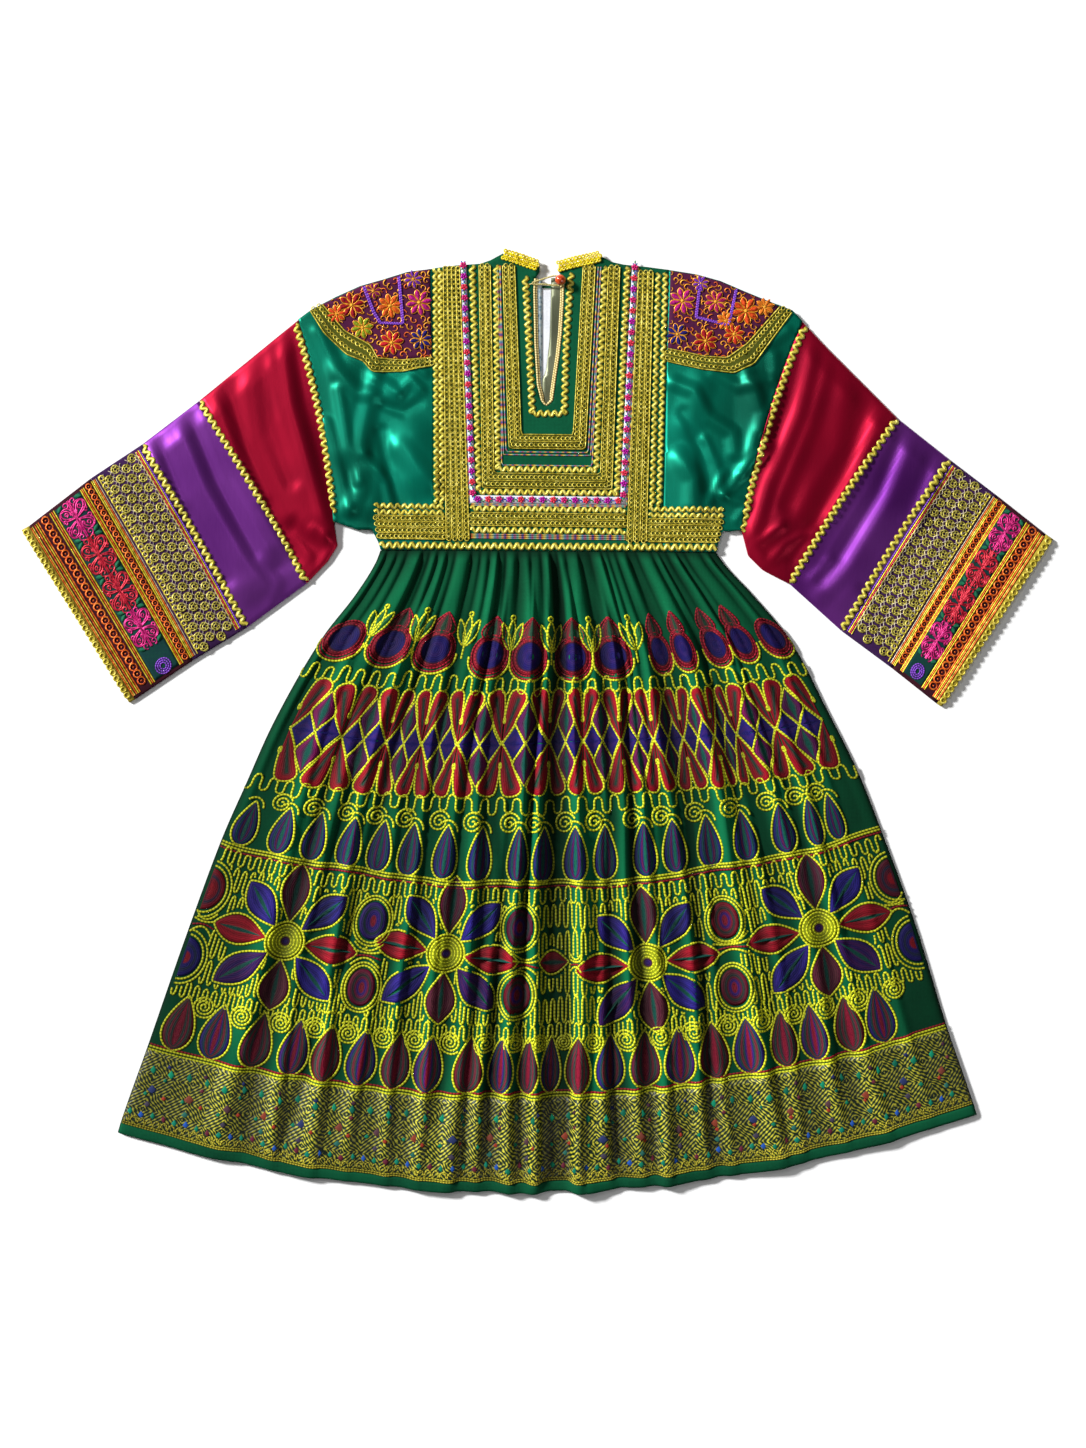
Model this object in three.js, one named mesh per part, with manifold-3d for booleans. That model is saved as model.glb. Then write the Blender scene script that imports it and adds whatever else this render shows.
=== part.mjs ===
// A long-sleeved festive dress laid flat, front side up, in millimetres with +Z up.
// +X is to the right of the dress as it is seen, +Y points to its neck, and z = 0 is the surface it lies on.
// Every piece of cloth is a thin wall. The back lies on the surface and the front lies on the back,
// the sleeves are flattened tubes, and the trims lie on the front, made from its own points moved out.

import * as THREE from 'three';
import { mergeVertices } from 'three/addons/utils/BufferGeometryUtils.js';
import Module from 'manifold-3d';

const wasm = await Module();
wasm.setup();

// Driving dimensions
const cloth = 1.5; // wall of cotton and satin panels
const seam = 0.3; // gap kept between neighbouring pieces
const slack = 0.6; // how loosely the front lies above the back
const trim = 0.9; // braid, ribbon and binding
const lining = 0.8; // thin cloth inside the neck opening
const maxFold = 3.5; // highest crest above the loose front
const gridStep = 25; // spacing of the bodice's points
const skirtColumns = 64; // two for each gather at the waist
const gatherCount = 32;
const sleeveColumns = 8;
const frontBase = cloth + seam + slack; // underside of the front where it lies lowest
const ribbonWidth = 8; // rickrack, across its waves

// Sections of the skirt, from the waist down. sag is how far the middle of a row hangs below its two ends.
const skirtRows = [
  { name: 'waist', left: [-187.8, 207.6], right: [215.4, 204.6], sag: 0 },
  { name: 'gathers', left: [-193, 194], right: [224.4, 191.4], sag: 1 },
  { name: 'first_swell', left: [-217, 155.4], right: [255.6, 157.8], sag: 8.4 },
  { name: 'circles', left: [-256.8, 103.8], right: [300, 105], sag: 17.4 },
  { name: 'hearts', left: [-315.6, 1.8], right: [350.4, 11.4], sag: 30 },
  { name: 'wave_line', left: [-348.6, -71.4], right: [384, -55.8], sag: 37.8 },
  { name: 'yellow_line', left: [-378.6, -139.8], right: [411.6, -124.8], sag: 57.9 },
  { name: 'under_flowers', left: [-423.2, -261], right: [453, -238.2], sag: 64.2 },
  { name: 'band_top', left: [-467.4, -388.2], right: [492, -364.8], sag: 71.7 },
  { name: 'band_bottom', left: [-499.2, -478.2], right: [523.2, -455.4], sag: 83.4 },
  { name: 'hem', left: [-502.8, -490.2], right: [527.4, -468.6], sag: 83.4 },
];

// Broad folds of the skirt: where each starts at the waist and ends at the hem, as shares of the width.
const skirtFolds = [
  { waist: 0.08, hem: 0.1, height: 1.4, halfWidth: 62 },
  { waist: 0.2, hem: 0.21, height: 2.0, halfWidth: 52 },
  { waist: 0.33, hem: 0.365, height: 2.4, halfWidth: 46 },
  { waist: 0.45, hem: 0.47, height: 2.2, halfWidth: 34 },
  { waist: 0.56, hem: 0.548, height: 3.2, halfWidth: 30 },
  { waist: 0.67, hem: 0.645, height: 2.2, halfWidth: 42 },
  { waist: 0.79, hem: 0.765, height: 2.2, halfWidth: 54 },
  { waist: 0.91, hem: 0.89, height: 1.4, halfWidth: 60 },
];

// Sections of each sleeve, from the armhole to the edging. upper and lower are the ends of a section on
// the two folded sides, bulge bows it towards the body, and steps splits the piece that starts there.
const sleeveSections = {
  left: [
    { piece: 'red', upper: [-286, 484], lower: [-244, 242], bulge: 8, steps: 1 },
    { piece: 'red', upper: [-312, 463], lower: [-239, 213], bulge: 7, steps: 1 },
    { piece: 'red', upper: [-345, 436], lower: [-251, 194], bulge: 5, steps: 2 },
    { piece: 'violet', upper: [-405, 387], lower: [-276, 168], bulge: 3, steps: 2 },
    { piece: 'lace', upper: [-473, 335], lower: [-348, 115], bulge: 2, steps: 2 },
    { piece: 'cuff', upper: [-535, 294], lower: [-412, 76], bulge: 1, steps: 2 },
    { piece: 'edging', upper: [-609, 237], lower: [-482, 29], bulge: 0, steps: 1 },
    { piece: 'end', upper: [-618, 232], lower: [-489, 25], bulge: 0, steps: 0 },
  ],
  right: [
    { piece: 'red', upper: [318, 482], lower: [245, 232], bulge: 8, steps: 1 },
    { piece: 'red', upper: [346, 452], lower: [253, 201], bulge: 7, steps: 1 },
    { piece: 'red', upper: [378, 420], lower: [270, 184], bulge: 5, steps: 2 },
    { piece: 'violet', upper: [432, 366], lower: [303, 167], bulge: 3, steps: 2 },
    { piece: 'lace', upper: [494, 317], lower: [365, 111], bulge: 2, steps: 2 },
    { piece: 'cuff', upper: [553, 272], lower: [426, 66], bulge: 1, steps: 2 },
    { piece: 'edging', upper: [610, 227], lower: [479, 24], bulge: 0, steps: 1 },
    { piece: 'end', upper: [619, 221], lower: [485, 20], bulge: 0, steps: 0 },
  ],
};

// Soft creases of the bodice and sleeves: a crest along a straight line, with its half width and height.
const creases = [
  { piece: 'left_side_panel', from: [-178, 395], to: [-210, 262], halfWidth: 40, height: 2.2 },
  { piece: 'left_side_panel', from: [-150, 330], to: [-176, 262], halfWidth: 34, height: 1.6 },
  { piece: 'left_side_panel', from: [-246, 430], to: [-236, 330], halfWidth: 30, height: 1.2 },
  { piece: 'right_side_panel', from: [196, 395], to: [236, 270], halfWidth: 40, height: 2.2 },
  { piece: 'right_side_panel', from: [172, 330], to: [196, 268], halfWidth: 34, height: 1.6 },
  { piece: 'right_side_panel', from: [282, 430], to: [262, 330], halfWidth: 30, height: 1.2 },
  { piece: 'left_red', from: [-318, 420], to: [-272, 250], halfWidth: 36, height: 2.4 },
  { piece: 'left_red', from: [-366, 388], to: [-290, 226], halfWidth: 32, height: 1.8 },
  { piece: 'right_red', from: [340, 420], to: [286, 250], halfWidth: 36, height: 2.4 },
  { piece: 'right_red', from: [394, 376], to: [322, 226], halfWidth: 32, height: 1.8 },
  { piece: 'left_violet', from: [-410, 330], to: [-340, 190], halfWidth: 38, height: 2.0 },
  { piece: 'right_violet', from: [436, 312], to: [362, 186], halfWidth: 38, height: 2.0 },
  { piece: 'left_cuff', from: [-520, 250], to: [-450, 130], halfWidth: 46, height: 1.2 },
  { piece: 'right_cuff', from: [530, 236], to: [458, 120], halfWidth: 46, height: 1.2 },
];

// Shoulder lines from the armhole to the neck, and the neck opening
const leftShoulder = [[-270, 496], [-241, 511], [-212, 524], [-184, 532], [-155, 541]];
const rightShoulder = [[306, 495], [277, 506], [248, 518], [220, 530], [191, 538]];
const centreLeft = -124;
const centreRight = 150.5;
const centreRightTop = 158;
const leftNeckline = [
  [centreLeft, 545.5], [-97, 549], [-68, 551], [-56, 555], [-41, 563], [3, 547], [3, 541],
];
const rightNeckline = [
  [26, 541], [26, 548], [76, 560], [90, 553], [104, 550], [133, 547], [centreRightTop, 543.6],
];
const slitEdge = [
  [-2, 533], [-3, 520], [-1.7, 454], [1.2, 406], [6, 387], [10.8, 381],
  [18, 387], [21.6, 413], [25.8, 440], [28.8, 467], [31.2, 507], [31.5, 533],
];
const slitRickrack = [
  [-17.4, 536], [-13, 455], [-9, 367], [36.6, 367], [38.6, 455], [44.4, 540],
  [37.4, 540], [31.8, 455], [29, 374.4], [-2, 374.4], [-6, 455], [-10.4, 536],
];
const waistRickrack = [[-186.6, 209.2], [214.2, 206.4], [216, 214.6], [-189, 217.4]];
const neckScoop = [[-41, 560], [-22, 541], [2, 525], [18, 525], [46, 541], [74, 557]];
const slitLift = { left: -14, right: 42, bottom: 372, top: 545, height: 1.6, flat: 26, fade: 34 };

// Corners of the bodice below the arms, from the armhole to the waist seam
const leftUnderarm = [[-214, 232], [-198, 232.5], [-190, 217], [-187.4, 208.2]];
const rightUnderarm = [[229, 230], [223, 231], [217, 216], [215, 205.2]];

// Braids and ribbons that frame the neck: x of the outer left and right lines at the bottom and at the
// shoulder, y of the bottom line, the width of the upright arms and the height of the arm across
const frameTop = 548.6;
const frames = [
  { name: 'flower_ribbon', left: [-80, -91.5], right: [106.5, 120.6], bottom: 263.4, width: 6.6, height: 9 },
  { name: 'rickrack_outer', left: [-72.8, -81], right: [99.4, 112], bottom: 273.4, width: 7, height: 7 },
  { name: 'braid_outer', left: [-65.2, -69.6], right: [90, 99.6], bottom: 281.2, width: 14, height: 18.4 },
  { name: 'rickrack_inner', left: [-50.6, -52], right: [74.6, 85], bottom: 300.6, width: 7, height: 7 },
  { name: 'braid_inner', left: [-33.6, -41.4], right: [58.2, 70.2], bottom: 328.8, width: 15, height: 17.4 },
];

// Trims that lie straight across or down the bodice: x of the left and right lines at bottom and top
const straightTrims = [
  { name: 'braid_wide_left', left: [-109.2, -112.6], right: [-80.6, -92.2], bottom: 219, top: 545 },
  { name: 'braid_wide_right', left: [107.4, 121.4], right: [131.6, 139.6], bottom: 219, top: 543 },
  { name: 'rickrack_pair_left', left: [-122.6, -123.8], right: [-110.8, -113.4], bottom: 261.2, top: 544 },
  { name: 'rickrack_pair_right', left: [135, 142.4], right: [149.5, 157], bottom: 261.2, top: 542.5 },
  { name: 'waist_pair_left', left: [-195, -195], right: [-110.8, -110.8], bottom: 248, top: 260.6 },
  { name: 'waist_pair_right', left: [133.4, 133.4], right: [224, 224], bottom: 248, top: 260.6 },
  { name: 'waist_braid_left', left: [-189.6, -195], right: [-109.8, -109.8], bottom: 218.6, top: 247.4 },
  { name: 'waist_braid_right', left: [132.8, 132.8], right: [216, 223], bottom: 218.6, top: 247.4 },
  { name: 'waist_braid_centre', left: [-80, -80], right: [106.8, 106.8], bottom: 236, top: 252 },
  { name: 'waist_rickrack_upper', left: [-80, -80], right: [106.8, 106.8], bottom: 252.8, top: 260.4 },
  { name: 'waist_rickrack_lower', left: [-80, -80], right: [106.8, 106.8], bottom: 227, top: 234.6 },
];
const tilt = 0.012; // fall of the bodice's rows towards the right
const tiltCentre = 13;

// Shoulder patches and the braid along their lower edges. patchLower runs from the sleeve to the neck.
const patches = {
  left: {
    upper: [[-128, 544.5], [-155, 540], [-184, 531], [-212, 523], [-240, 510], [-257, 502]],
    lower: [[-257, 502], [-230, 470], [-199, 453], [-191, 437.5], [-160, 435], [-126, 438.5]],
    border: [[-271.5, 494.5], [-255, 468], [-228, 442], [-208, 434], [-197, 421], [-160, 422], [-126, 429]],
  },
  right: {
    upper: [[160, 542], [191, 537], [220, 529], [248, 517], [277, 505], [291, 499]],
    lower: [[291, 499], [252, 455], [228, 438], [202, 439.5], [156.6, 449]],
    border: [[305, 492], [260, 431], [236, 420], [199, 424], [156.2, 434]],
  },
};

// Bead at the neck and the cord loop round its foot
const bead = { centre: [28, 530], radius: 6.5, sides: 16, rings: 10 };
const loop = { start: [-3, 527], cord: 1.1, knot: 2.6, foot: 8.1, sides: 6, steps: 26 };
const collar = {
  left: { from: [-41, 563], to: [5, 548] },
  right: { from: [24, 547.5], to: [76, 560.5] },
  width: 10,
  thickness: 2.4,
};

const mix = (a, b, share) => a + (b - a) * share;

// A bump that is 1 on its line and falls smoothly to 0 at its half width
const crest = (distance, halfWidth) => {
  const share = Math.min(1, Math.abs(distance) / halfWidth);
  return (1 + Math.cos(Math.PI * share)) / 2;
};

const distanceToSegment = (x, y, from, to) => {
  const dx = to[0] - from[0];
  const dy = to[1] - from[1];
  const along = ((x - from[0]) * dx + (y - from[1]) * dy) / (dx * dx + dy * dy);
  const held = Math.min(1, Math.max(0, along));
  return Math.hypot(x - from[0] - dx * held, y - from[1] - dy * held);
};

// How far the front is lifted round the neck opening, where the facings lie under it
const openingLift = (x, y) => {
  const outX = Math.max(slitLift.left - x, x - slitLift.right, 0);
  const outY = Math.max(slitLift.bottom - y, y - slitLift.top, 0);
  const away = Math.max(0, Math.hypot(outX, outY) - slitLift.flat);
  return slitLift.height * crest(away, slitLift.fade);
};

const creaseHeight = (x, y) => {
  const heights = creases.map((c) => c.height * crest(distanceToSegment(x, y, c.from, c.to), c.halfWidth));
  return Math.min(maxFold, heights.reduce((sum, height) => sum + height, 0));
};

const bodiceUnderside = (x, y) => frontBase + Math.max(openingLift(x, y), creaseHeight(x, y));

// The skirt's point at a share of its width and at a row, with its fold height
const skirtPoint = (share, row) => {
  const { left, right, sag } = skirtRows[row];
  const x = mix(left[0], right[0], share);
  const y = mix(left[1], right[1], share) - sag * 4 * share * (1 - share);
  return [x, y];
};

const gatherHeight = (share, down) => {
  const cell = Math.min(gatherCount - 1, Math.floor(share * gatherCount));
  const offset = share * gatherCount - cell - 0.5;
  const height = 2.3 * (0.6 + 0.4 * Math.sin(2.4 * cell + 1));
  const reach = 150 + 70 * Math.sin(1.7 * cell + 2);
  const start = Math.min(1, down / 12);
  return height * crest(offset, 0.5) * start * Math.exp(-((down / reach) ** 2));
};

const foldHeight = (share, down, width) => {
  const length = skirtRows[0].left[1] - skirtRows.at(-1).left[1];
  const part = Math.min(1, down / length);
  const heights = skirtFolds.map((fold) => {
    const away = (share - mix(fold.waist, fold.hem, part)) * width;
    return fold.height * crest(away, mix(fold.halfWidth * 0.4, fold.halfWidth, part));
  });
  const start = Math.min(1, down / 60);
  return start * heights.reduce((sum, height) => sum + height, 0);
};

const skirtUnderside = (share, row) => {
  const { left, right } = skirtRows[row];
  const down = skirtRows[0].left[1] - left[1];
  const height = gatherHeight(share, down) + foldHeight(share, down, right[0] - left[0]);
  const side = Math.min(1, share / 0.04, (1 - share) / 0.04);
  return frontBase + side * Math.min(maxFold, height);
};

// A closed wall over a grid of points: its underside is the grid moved up by lift, its top one wall higher
const wall = (rows, lift, thickness) => {
  const across = rows[0].length;
  const down = rows.length;
  const positions = [];
  for (const level of [lift, lift + thickness]) {
    for (const row of rows) {
      for (const [x, y, z] of row) {
        positions.push(x, y, z + level);
      }
    }
  }
  const index = [];
  const top = across * down;
  const quad = (a, b, c, d) => index.push(b, c, d, b, d, a);
  const at = (row, column) => row * across + column;
  for (let row = 0; row < down - 1; row += 1) {
    for (let column = 0; column < across - 1; column += 1) {
      const corners = [at(row, column), at(row + 1, column), at(row + 1, column + 1), at(row, column + 1)];
      quad(...corners.map((corner) => corner + top));
      const [a, b, c, d] = corners;
      index.push(b, d, c, b, a, d);
    }
  }
  for (let column = 0; column < across - 1; column += 1) {
    const first = at(0, column);
    const last = at(down - 1, column);
    quad(first, first + top, first + 1 + top, first + 1);
    quad(last, last + 1, last + 1 + top, last + top);
  }
  for (let row = 0; row < down - 1; row += 1) {
    const first = at(row, 0);
    const last = at(row, across - 1);
    quad(first, at(row + 1, 0), at(row + 1, 0) + top, first + top);
    quad(last, last + top, at(row + 1, across - 1) + top, at(row + 1, across - 1));
  }
  const geometry = new THREE.BufferGeometry();
  geometry.setAttribute('position', new THREE.Float32BufferAttribute(positions, 3));
  geometry.setIndex(index);
  return geometry;
};

const toSolid = (geometry) => {
  const bare = geometry.clone();
  bare.deleteAttribute('normal');
  bare.deleteAttribute('uv');
  const merged = mergeVertices(bare);
  const mesh = new wasm.Mesh({
    numProp: 3,
    vertProperties: new Float32Array(merged.attributes.position.array),
    triVerts: new Uint32Array(merged.index.array),
  });
  return new wasm.Manifold(mesh);
};

const toGeometry = (solid) => {
  const mesh = solid.getMesh();
  const geometry = new THREE.BufferGeometry();
  geometry.setAttribute('position', new THREE.BufferAttribute(new Float32Array(mesh.vertProperties), 3));
  geometry.setIndex(new THREE.BufferAttribute(new Uint32Array(mesh.triVerts), 1));
  return geometry;
};

const plate = (outline, bottom, thickness) => {
  const shape = new THREE.Shape(outline.map(([x, y]) => new THREE.Vector2(x, y)));
  const geometry = new THREE.ExtrudeGeometry(shape, { depth: thickness, bevelEnabled: false });
  geometry.translate(0, 0, bottom);
  return geometry;
};

// The part of a wall over a grid that lies inside an outline in plan
const cutFrom = (rows, outline, lift, thickness) => {
  const cutter = toSolid(plate(outline, -10, 60));
  return toGeometry(toSolid(wall(rows, lift, thickness)).intersect(cutter));
};

// Points of the bodice's front on a square grid that runs past its outline
const bodiceGrid = () => {
  const rows = [];
  for (let y = 575; y >= 200; y -= gridStep) {
    const row = [];
    for (let x = -300; x <= 350; x += gridStep) {
      row.push([x, y, bodiceUnderside(x, y)]);
    }
    rows.push(row);
  }
  return rows;
};

const skirtGrid = (firstRow, lastRow) => {
  const rows = [];
  for (let row = firstRow; row <= lastRow; row += 1) {
    const points = [];
    for (let column = 0; column <= skirtColumns; column += 1) {
      const share = column / skirtColumns;
      const [x, y] = skirtPoint(share, row);
      points.push([x, y, skirtUnderside(share, row)]);
    }
    rows.push(points);
  }
  return rows;
};

// A section of a sleeve between two stated ones, and its point at a share of the way across
const sectionBetween = (a, b, share) => ({
  upper: [mix(a.upper[0], b.upper[0], share), mix(a.upper[1], b.upper[1], share)],
  lower: [mix(a.lower[0], b.lower[0], share), mix(a.lower[1], b.lower[1], share)],
  bulge: mix(a.bulge, b.bulge, share),
});

const acrossSection = (section, distance, side) => {
  const dx = section.lower[0] - section.upper[0];
  const dy = section.lower[1] - section.upper[1];
  const width = Math.hypot(dx, dy);
  const share = distance / width;
  const bow = section.bulge * 4 * share * (1 - share);
  const towardBody = side === 'left' ? 1 : -1;
  const x = section.upper[0] + dx * share - (towardBody * bow * dy) / width;
  const y = section.upper[1] + dy * share + (towardBody * bow * dx) / width;
  return [x, y];
};

const edgeRadius = (frontBase + cloth) / 2;

const topPoints = (section, side) => {
  const width = Math.hypot(section.lower[0] - section.upper[0], section.lower[1] - section.upper[1]);
  const points = [];
  for (let column = 0; column <= sleeveColumns; column += 1) {
    const distance = mix(edgeRadius, width - edgeRadius, column / sleeveColumns);
    const [x, y] = acrossSection(section, distance, side);
    const edge = Math.min(1, (distance - edgeRadius) / 30, (width - edgeRadius - distance) / 30);
    points.push([x, y, frontBase + edge * creaseHeight(x, y)]);
  }
  return points;
};

// Outer and inner loops of a flattened sleeve: over the top, round one folded side, back along the
// surface and round the other side
const ringLoops = (section, side) => {
  const width = Math.hypot(section.lower[0] - section.upper[0], section.lower[1] - section.upper[1]);
  const innerRadius = edgeRadius - cloth;
  const top = topPoints(section, side);
  const outer = top.map(([x, y, z]) => [x, y, z + cloth]);
  const inner = top.map(([x, y, z]) => [x, y, z]);
  const addRound = (centre, away) => {
    for (const degrees of [45, 0, -45]) {
      const angle = THREE.MathUtils.degToRad(degrees);
      for (const [points, radius] of [[outer, edgeRadius], [inner, innerRadius]]) {
        const distance = centre + away * radius * Math.cos(angle);
        const [x, y] = acrossSection(section, distance, side);
        points.push([x, y, edgeRadius + radius * Math.sin(angle)]);
      }
    }
  };
  addRound(width - edgeRadius, 1);
  for (const share of [1, 2 / 3, 1 / 3, 0]) {
    const [x, y] = acrossSection(section, mix(edgeRadius, width - edgeRadius, share), side);
    outer.push([x, y, 0]);
    inner.push([x, y, cloth]);
  }
  const rising = outer.length;
  addRound(edgeRadius, -1);
  const flip = (points) => points.push(...points.splice(rising).reverse());
  flip(outer);
  flip(inner);
  return { outer, inner };
};

// A closed ring of cloth through the loops of several sections
const ring = (sections, side) => {
  const loops = sections.map((section) => ringLoops(section, side));
  const count = loops[0].outer.length;
  const positions = loops.flatMap(({ outer, inner }) => [...outer, ...inner]).flat();
  const index = [];
  const outerAt = (row, k) => row * 2 * count + (k % count);
  const innerAt = (row, k) => outerAt(row, k) + count;
  const last = sections.length - 1;
  const quad = (a, b, c, d) => {
    const corners = side === 'left' ? [b, c, d, b, d, a] : [a, c, b, a, d, c];
    index.push(...corners);
  };
  for (let k = 0; k < count; k += 1) {
    for (let row = 0; row < last; row += 1) {
      quad(outerAt(row, k), outerAt(row + 1, k), outerAt(row + 1, k + 1), outerAt(row, k + 1));
      quad(innerAt(row, k), innerAt(row, k + 1), innerAt(row + 1, k + 1), innerAt(row + 1, k));
    }
    quad(outerAt(0, k), outerAt(0, k + 1), innerAt(0, k + 1), innerAt(0, k));
    quad(outerAt(last, k), innerAt(last, k), innerAt(last, k + 1), outerAt(last, k + 1));
  }
  const geometry = new THREE.BufferGeometry();
  geometry.setAttribute('position', new THREE.Float32BufferAttribute(positions, 3));
  geometry.setIndex(index);
  return geometry;
};

// All the sections that one piece of a sleeve runs through, drawn in by half a seam at both ends
const pieceSections = (side, piece) => {
  const table = sleeveSections[side];
  const sections = [];
  table.forEach((section, k) => {
    if (section.piece !== piece) {
      return;
    }
    for (let step = 0; step < section.steps; step += 1) {
      sections.push(sectionBetween(section, table[k + 1], step / section.steps));
    }
    if (table[k + 1].piece !== piece) {
      sections.push(table[k + 1]);
    }
  });
  const drawIn = (from, to) => {
    const length = Math.hypot(to.lower[0] - from.lower[0], to.lower[1] - from.lower[1]);
    return sectionBetween(from, to, Math.min(0.3, seam / 2 / length));
  };
  const lastSection = sections.length - 1;
  const first = drawIn(sections[0], sections[1]);
  const end = drawIn(sections[lastSection], sections[lastSection - 1]);
  return [first, ...sections.slice(1, lastSection), end];
};

// Points of the whole top of a sleeve, through every section
const sleeveTopGrid = (side) => {
  const table = sleeveSections[side];
  const rows = [];
  table.forEach((section, k) => {
    for (let step = 0; step < section.steps; step += 1) {
      rows.push(topPoints(sectionBetween(section, table[k + 1], step / section.steps), side));
    }
  });
  rows.push(topPoints(table.at(-1), side));
  return side === 'left' ? rows : rows.map((row) => [...row].reverse());
};

// The line of a sleeve's seam in plan, in the same steps as the sleeve's own points
const seamLine = (section, side, inset) => {
  const width = Math.hypot(section.lower[0] - section.upper[0], section.lower[1] - section.upper[1]);
  const points = [];
  for (let column = 0; column <= sleeveColumns; column += 1) {
    const start = edgeRadius + inset;
    const distance = mix(start, width - start, column / sleeveColumns);
    points.push(acrossSection(section, distance, side));
  }
  return points;
};

// The whole armhole seam from the shoulder to the underarm, through the points of the sleeve's ring
const armholeLine = (side) => {
  const { upper, lower } = sleeveSections[side][0];
  return [upper, ...seamLine(sleeveSections[side][0], side, 0), lower];
};

const shifted = (points, dx, dy) => points.map(([x, y]) => [x + dx, y + dy]);

// A ribbon in plan that follows a line, between two distances measured along the sleeve
const ribbonOutline = (section, side, from, to) => {
  const dx = section.lower[0] - section.upper[0];
  const dy = section.lower[1] - section.upper[1];
  const width = Math.hypot(dx, dy);
  const toCuff = side === 'left' ? [dy / width, -dx / width] : [-dy / width, dx / width];
  const line = seamLine(section, side, 1);
  const near = shifted(line, toCuff[0] * from, toCuff[1] * from);
  const far = shifted(line, toCuff[0] * to, toCuff[1] * to);
  return [...near, ...far.reverse()];
};

const tilted = (points) => points.map(([x, y]) => [x, y - tilt * (x - tiltCentre)]);

const leaningBand = ({ left, right, bottom, top }) => tilted([
  [left[0], bottom], [right[0], bottom], [right[1], top], [left[1], top],
]);

// A frame open at the top: down the left side, across and up the right side
const frameOutline = ({ left, right, bottom, width, height }) => tilted([
  [left[1], frameTop], [left[0], bottom], [right[0], bottom], [right[1], frameTop],
  [right[1] - width, frameTop], [right[0] - width, bottom + height],
  [left[0] + width, bottom + height], [left[1] + width, frameTop],
]);

const stripAlong = ({ from, to }, width) => {
  const dx = to[0] - from[0];
  const dy = to[1] - from[1];
  const length = Math.hypot(dx, dy);
  const sideways = [(-dy / length) * (width / 2), (dx / length) * (width / 2)];
  return [
    ...shifted([from, to], sideways[0], sideways[1]),
    ...shifted([to, from], -sideways[0], -sideways[1]),
  ];
};

// A narrow line of piping along a run of points, offset to one side of them
const pipingOutline = (points, from, to) => {
  const offset = (distance) => points.map(([x, y], k) => {
    const before = points[Math.max(0, k - 1)];
    const after = points[Math.min(points.length - 1, k + 1)];
    const dx = after[0] - before[0];
    const dy = after[1] - before[1];
    const length = Math.hypot(dx, dy);
    return [x + (dy / length) * distance, y - (dx / length) * distance];
  });
  return [...offset(from), ...offset(to).reverse()];
};

// The group stands so that the middle of the laid-out dress is over the origin
const middle = [0.5, 2.3];
const dress = new THREE.Group();

const add = (name, geometry, colour, roughness, metalness = 0) => {
  const material = new THREE.MeshStandardMaterial({ color: colour, roughness, metalness });
  const mesh = new THREE.Mesh(geometry, material);
  mesh.name = name;
  mesh.position.set(-middle[0], -middle[1], 0);
  dress.add(mesh);
};

const colours = {
  cotton: 0x0b6b43,
  teal: 0x0a7a5c,
  red: 0xb00a2e,
  violet: 0x7a2fa0,
  lace: 0xa79a45,
  cuff: 0x8c2350,
  gold: 0xc9b53a,
  rickrack: 0xd6c35a,
  patch: 0x6a2a48,
  ribbon: 0xe9e4ea,
  white: 0xe6e8ea,
};

// Skirt: a flat back, the gathered front on it, and the woven band and binding along its hem
const addSkirt = () => {
  const table = skirtRows;
  const hemLine = [];
  for (let column = 0; column <= 24; column += 1) {
    const [x, y] = skirtPoint(column / 24, table.length - 1);
    hemLine.push([x, y + 3]);
  }
  const leftSide = table.slice(0, -1).map((row) => row.left);
  const rightSide = table.slice(0, -1).map((row) => row.right).reverse();
  const backOutline = [...leftSide, ...hemLine, ...rightSide].reverse();
  add('skirt_back', plate(backOutline, 0, cloth), colours.cotton, 0.75);
  add('skirt_front', wall(skirtGrid(0, table.length - 1), 0, cloth), colours.cotton, 0.75);
  const bandTop = table.findIndex((row) => row.name === 'band_top');
  const onTop = cloth + seam;
  add('hem_band', wall(skirtGrid(bandTop, bandTop + 1), onTop, trim), colours.gold, 0.55);
  const hemRows = skirtGrid(bandTop + 1, bandTop + 2);
  const apart = hemRows[0].map(([x, y, z]) => [x, y - seam, z]);
  add('hem_binding', wall([apart, hemRows[1]], onTop, trim), 0x0a5a3a, 0.7);
};

// Bodice: a flat back with its neck scoop, a green centre with the slit, and satin at both sides
const addBodice = () => {
  const grid = bodiceGrid();
  const leftArm = shifted(armholeLine('left'), seam, 0);
  const rightArm = shifted(armholeLine('right'), -seam, 0);
  const backOutline = [
    ...leftArm, ...leftUnderarm, ...[...rightUnderarm].reverse(), ...[...rightArm].reverse(),
    ...rightShoulder, ...[...rightNeckline].reverse().slice(0, 5),
    ...[...neckScoop].reverse(), ...[...leftNeckline].reverse().slice(2), ...[...leftShoulder].reverse(),
  ];
  add('bodice_back', plate(backOutline, 0, cloth), colours.cotton, 0.75);
  const centreOutline = [
    ...leftNeckline, ...slitEdge, ...rightNeckline,
    [centreRight, 205.7], [centreLeft, 207.6],
  ].reverse();
  add('bodice_front', cutFrom(grid, centreOutline, 0, cloth), colours.cotton, 0.75);
  const leftOutline = [
    ...leftArm, ...leftUnderarm, [centreLeft - seam, 207.6], [centreLeft - seam, 545],
    ...[...leftShoulder].reverse(),
  ];
  const rightOutline = [
    ...rightArm, ...rightUnderarm, [centreRight + seam, 205.7], [centreRightTop + seam, 543.4],
    ...[...rightShoulder].reverse(),
  ].reverse();
  add('side_panel_left', cutFrom(grid, leftOutline, 0, cloth), colours.teal, 0.3);
  add('side_panel_right', cutFrom(grid, rightOutline, 0, cloth), colours.teal, 0.3);
  return grid;
};

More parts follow.
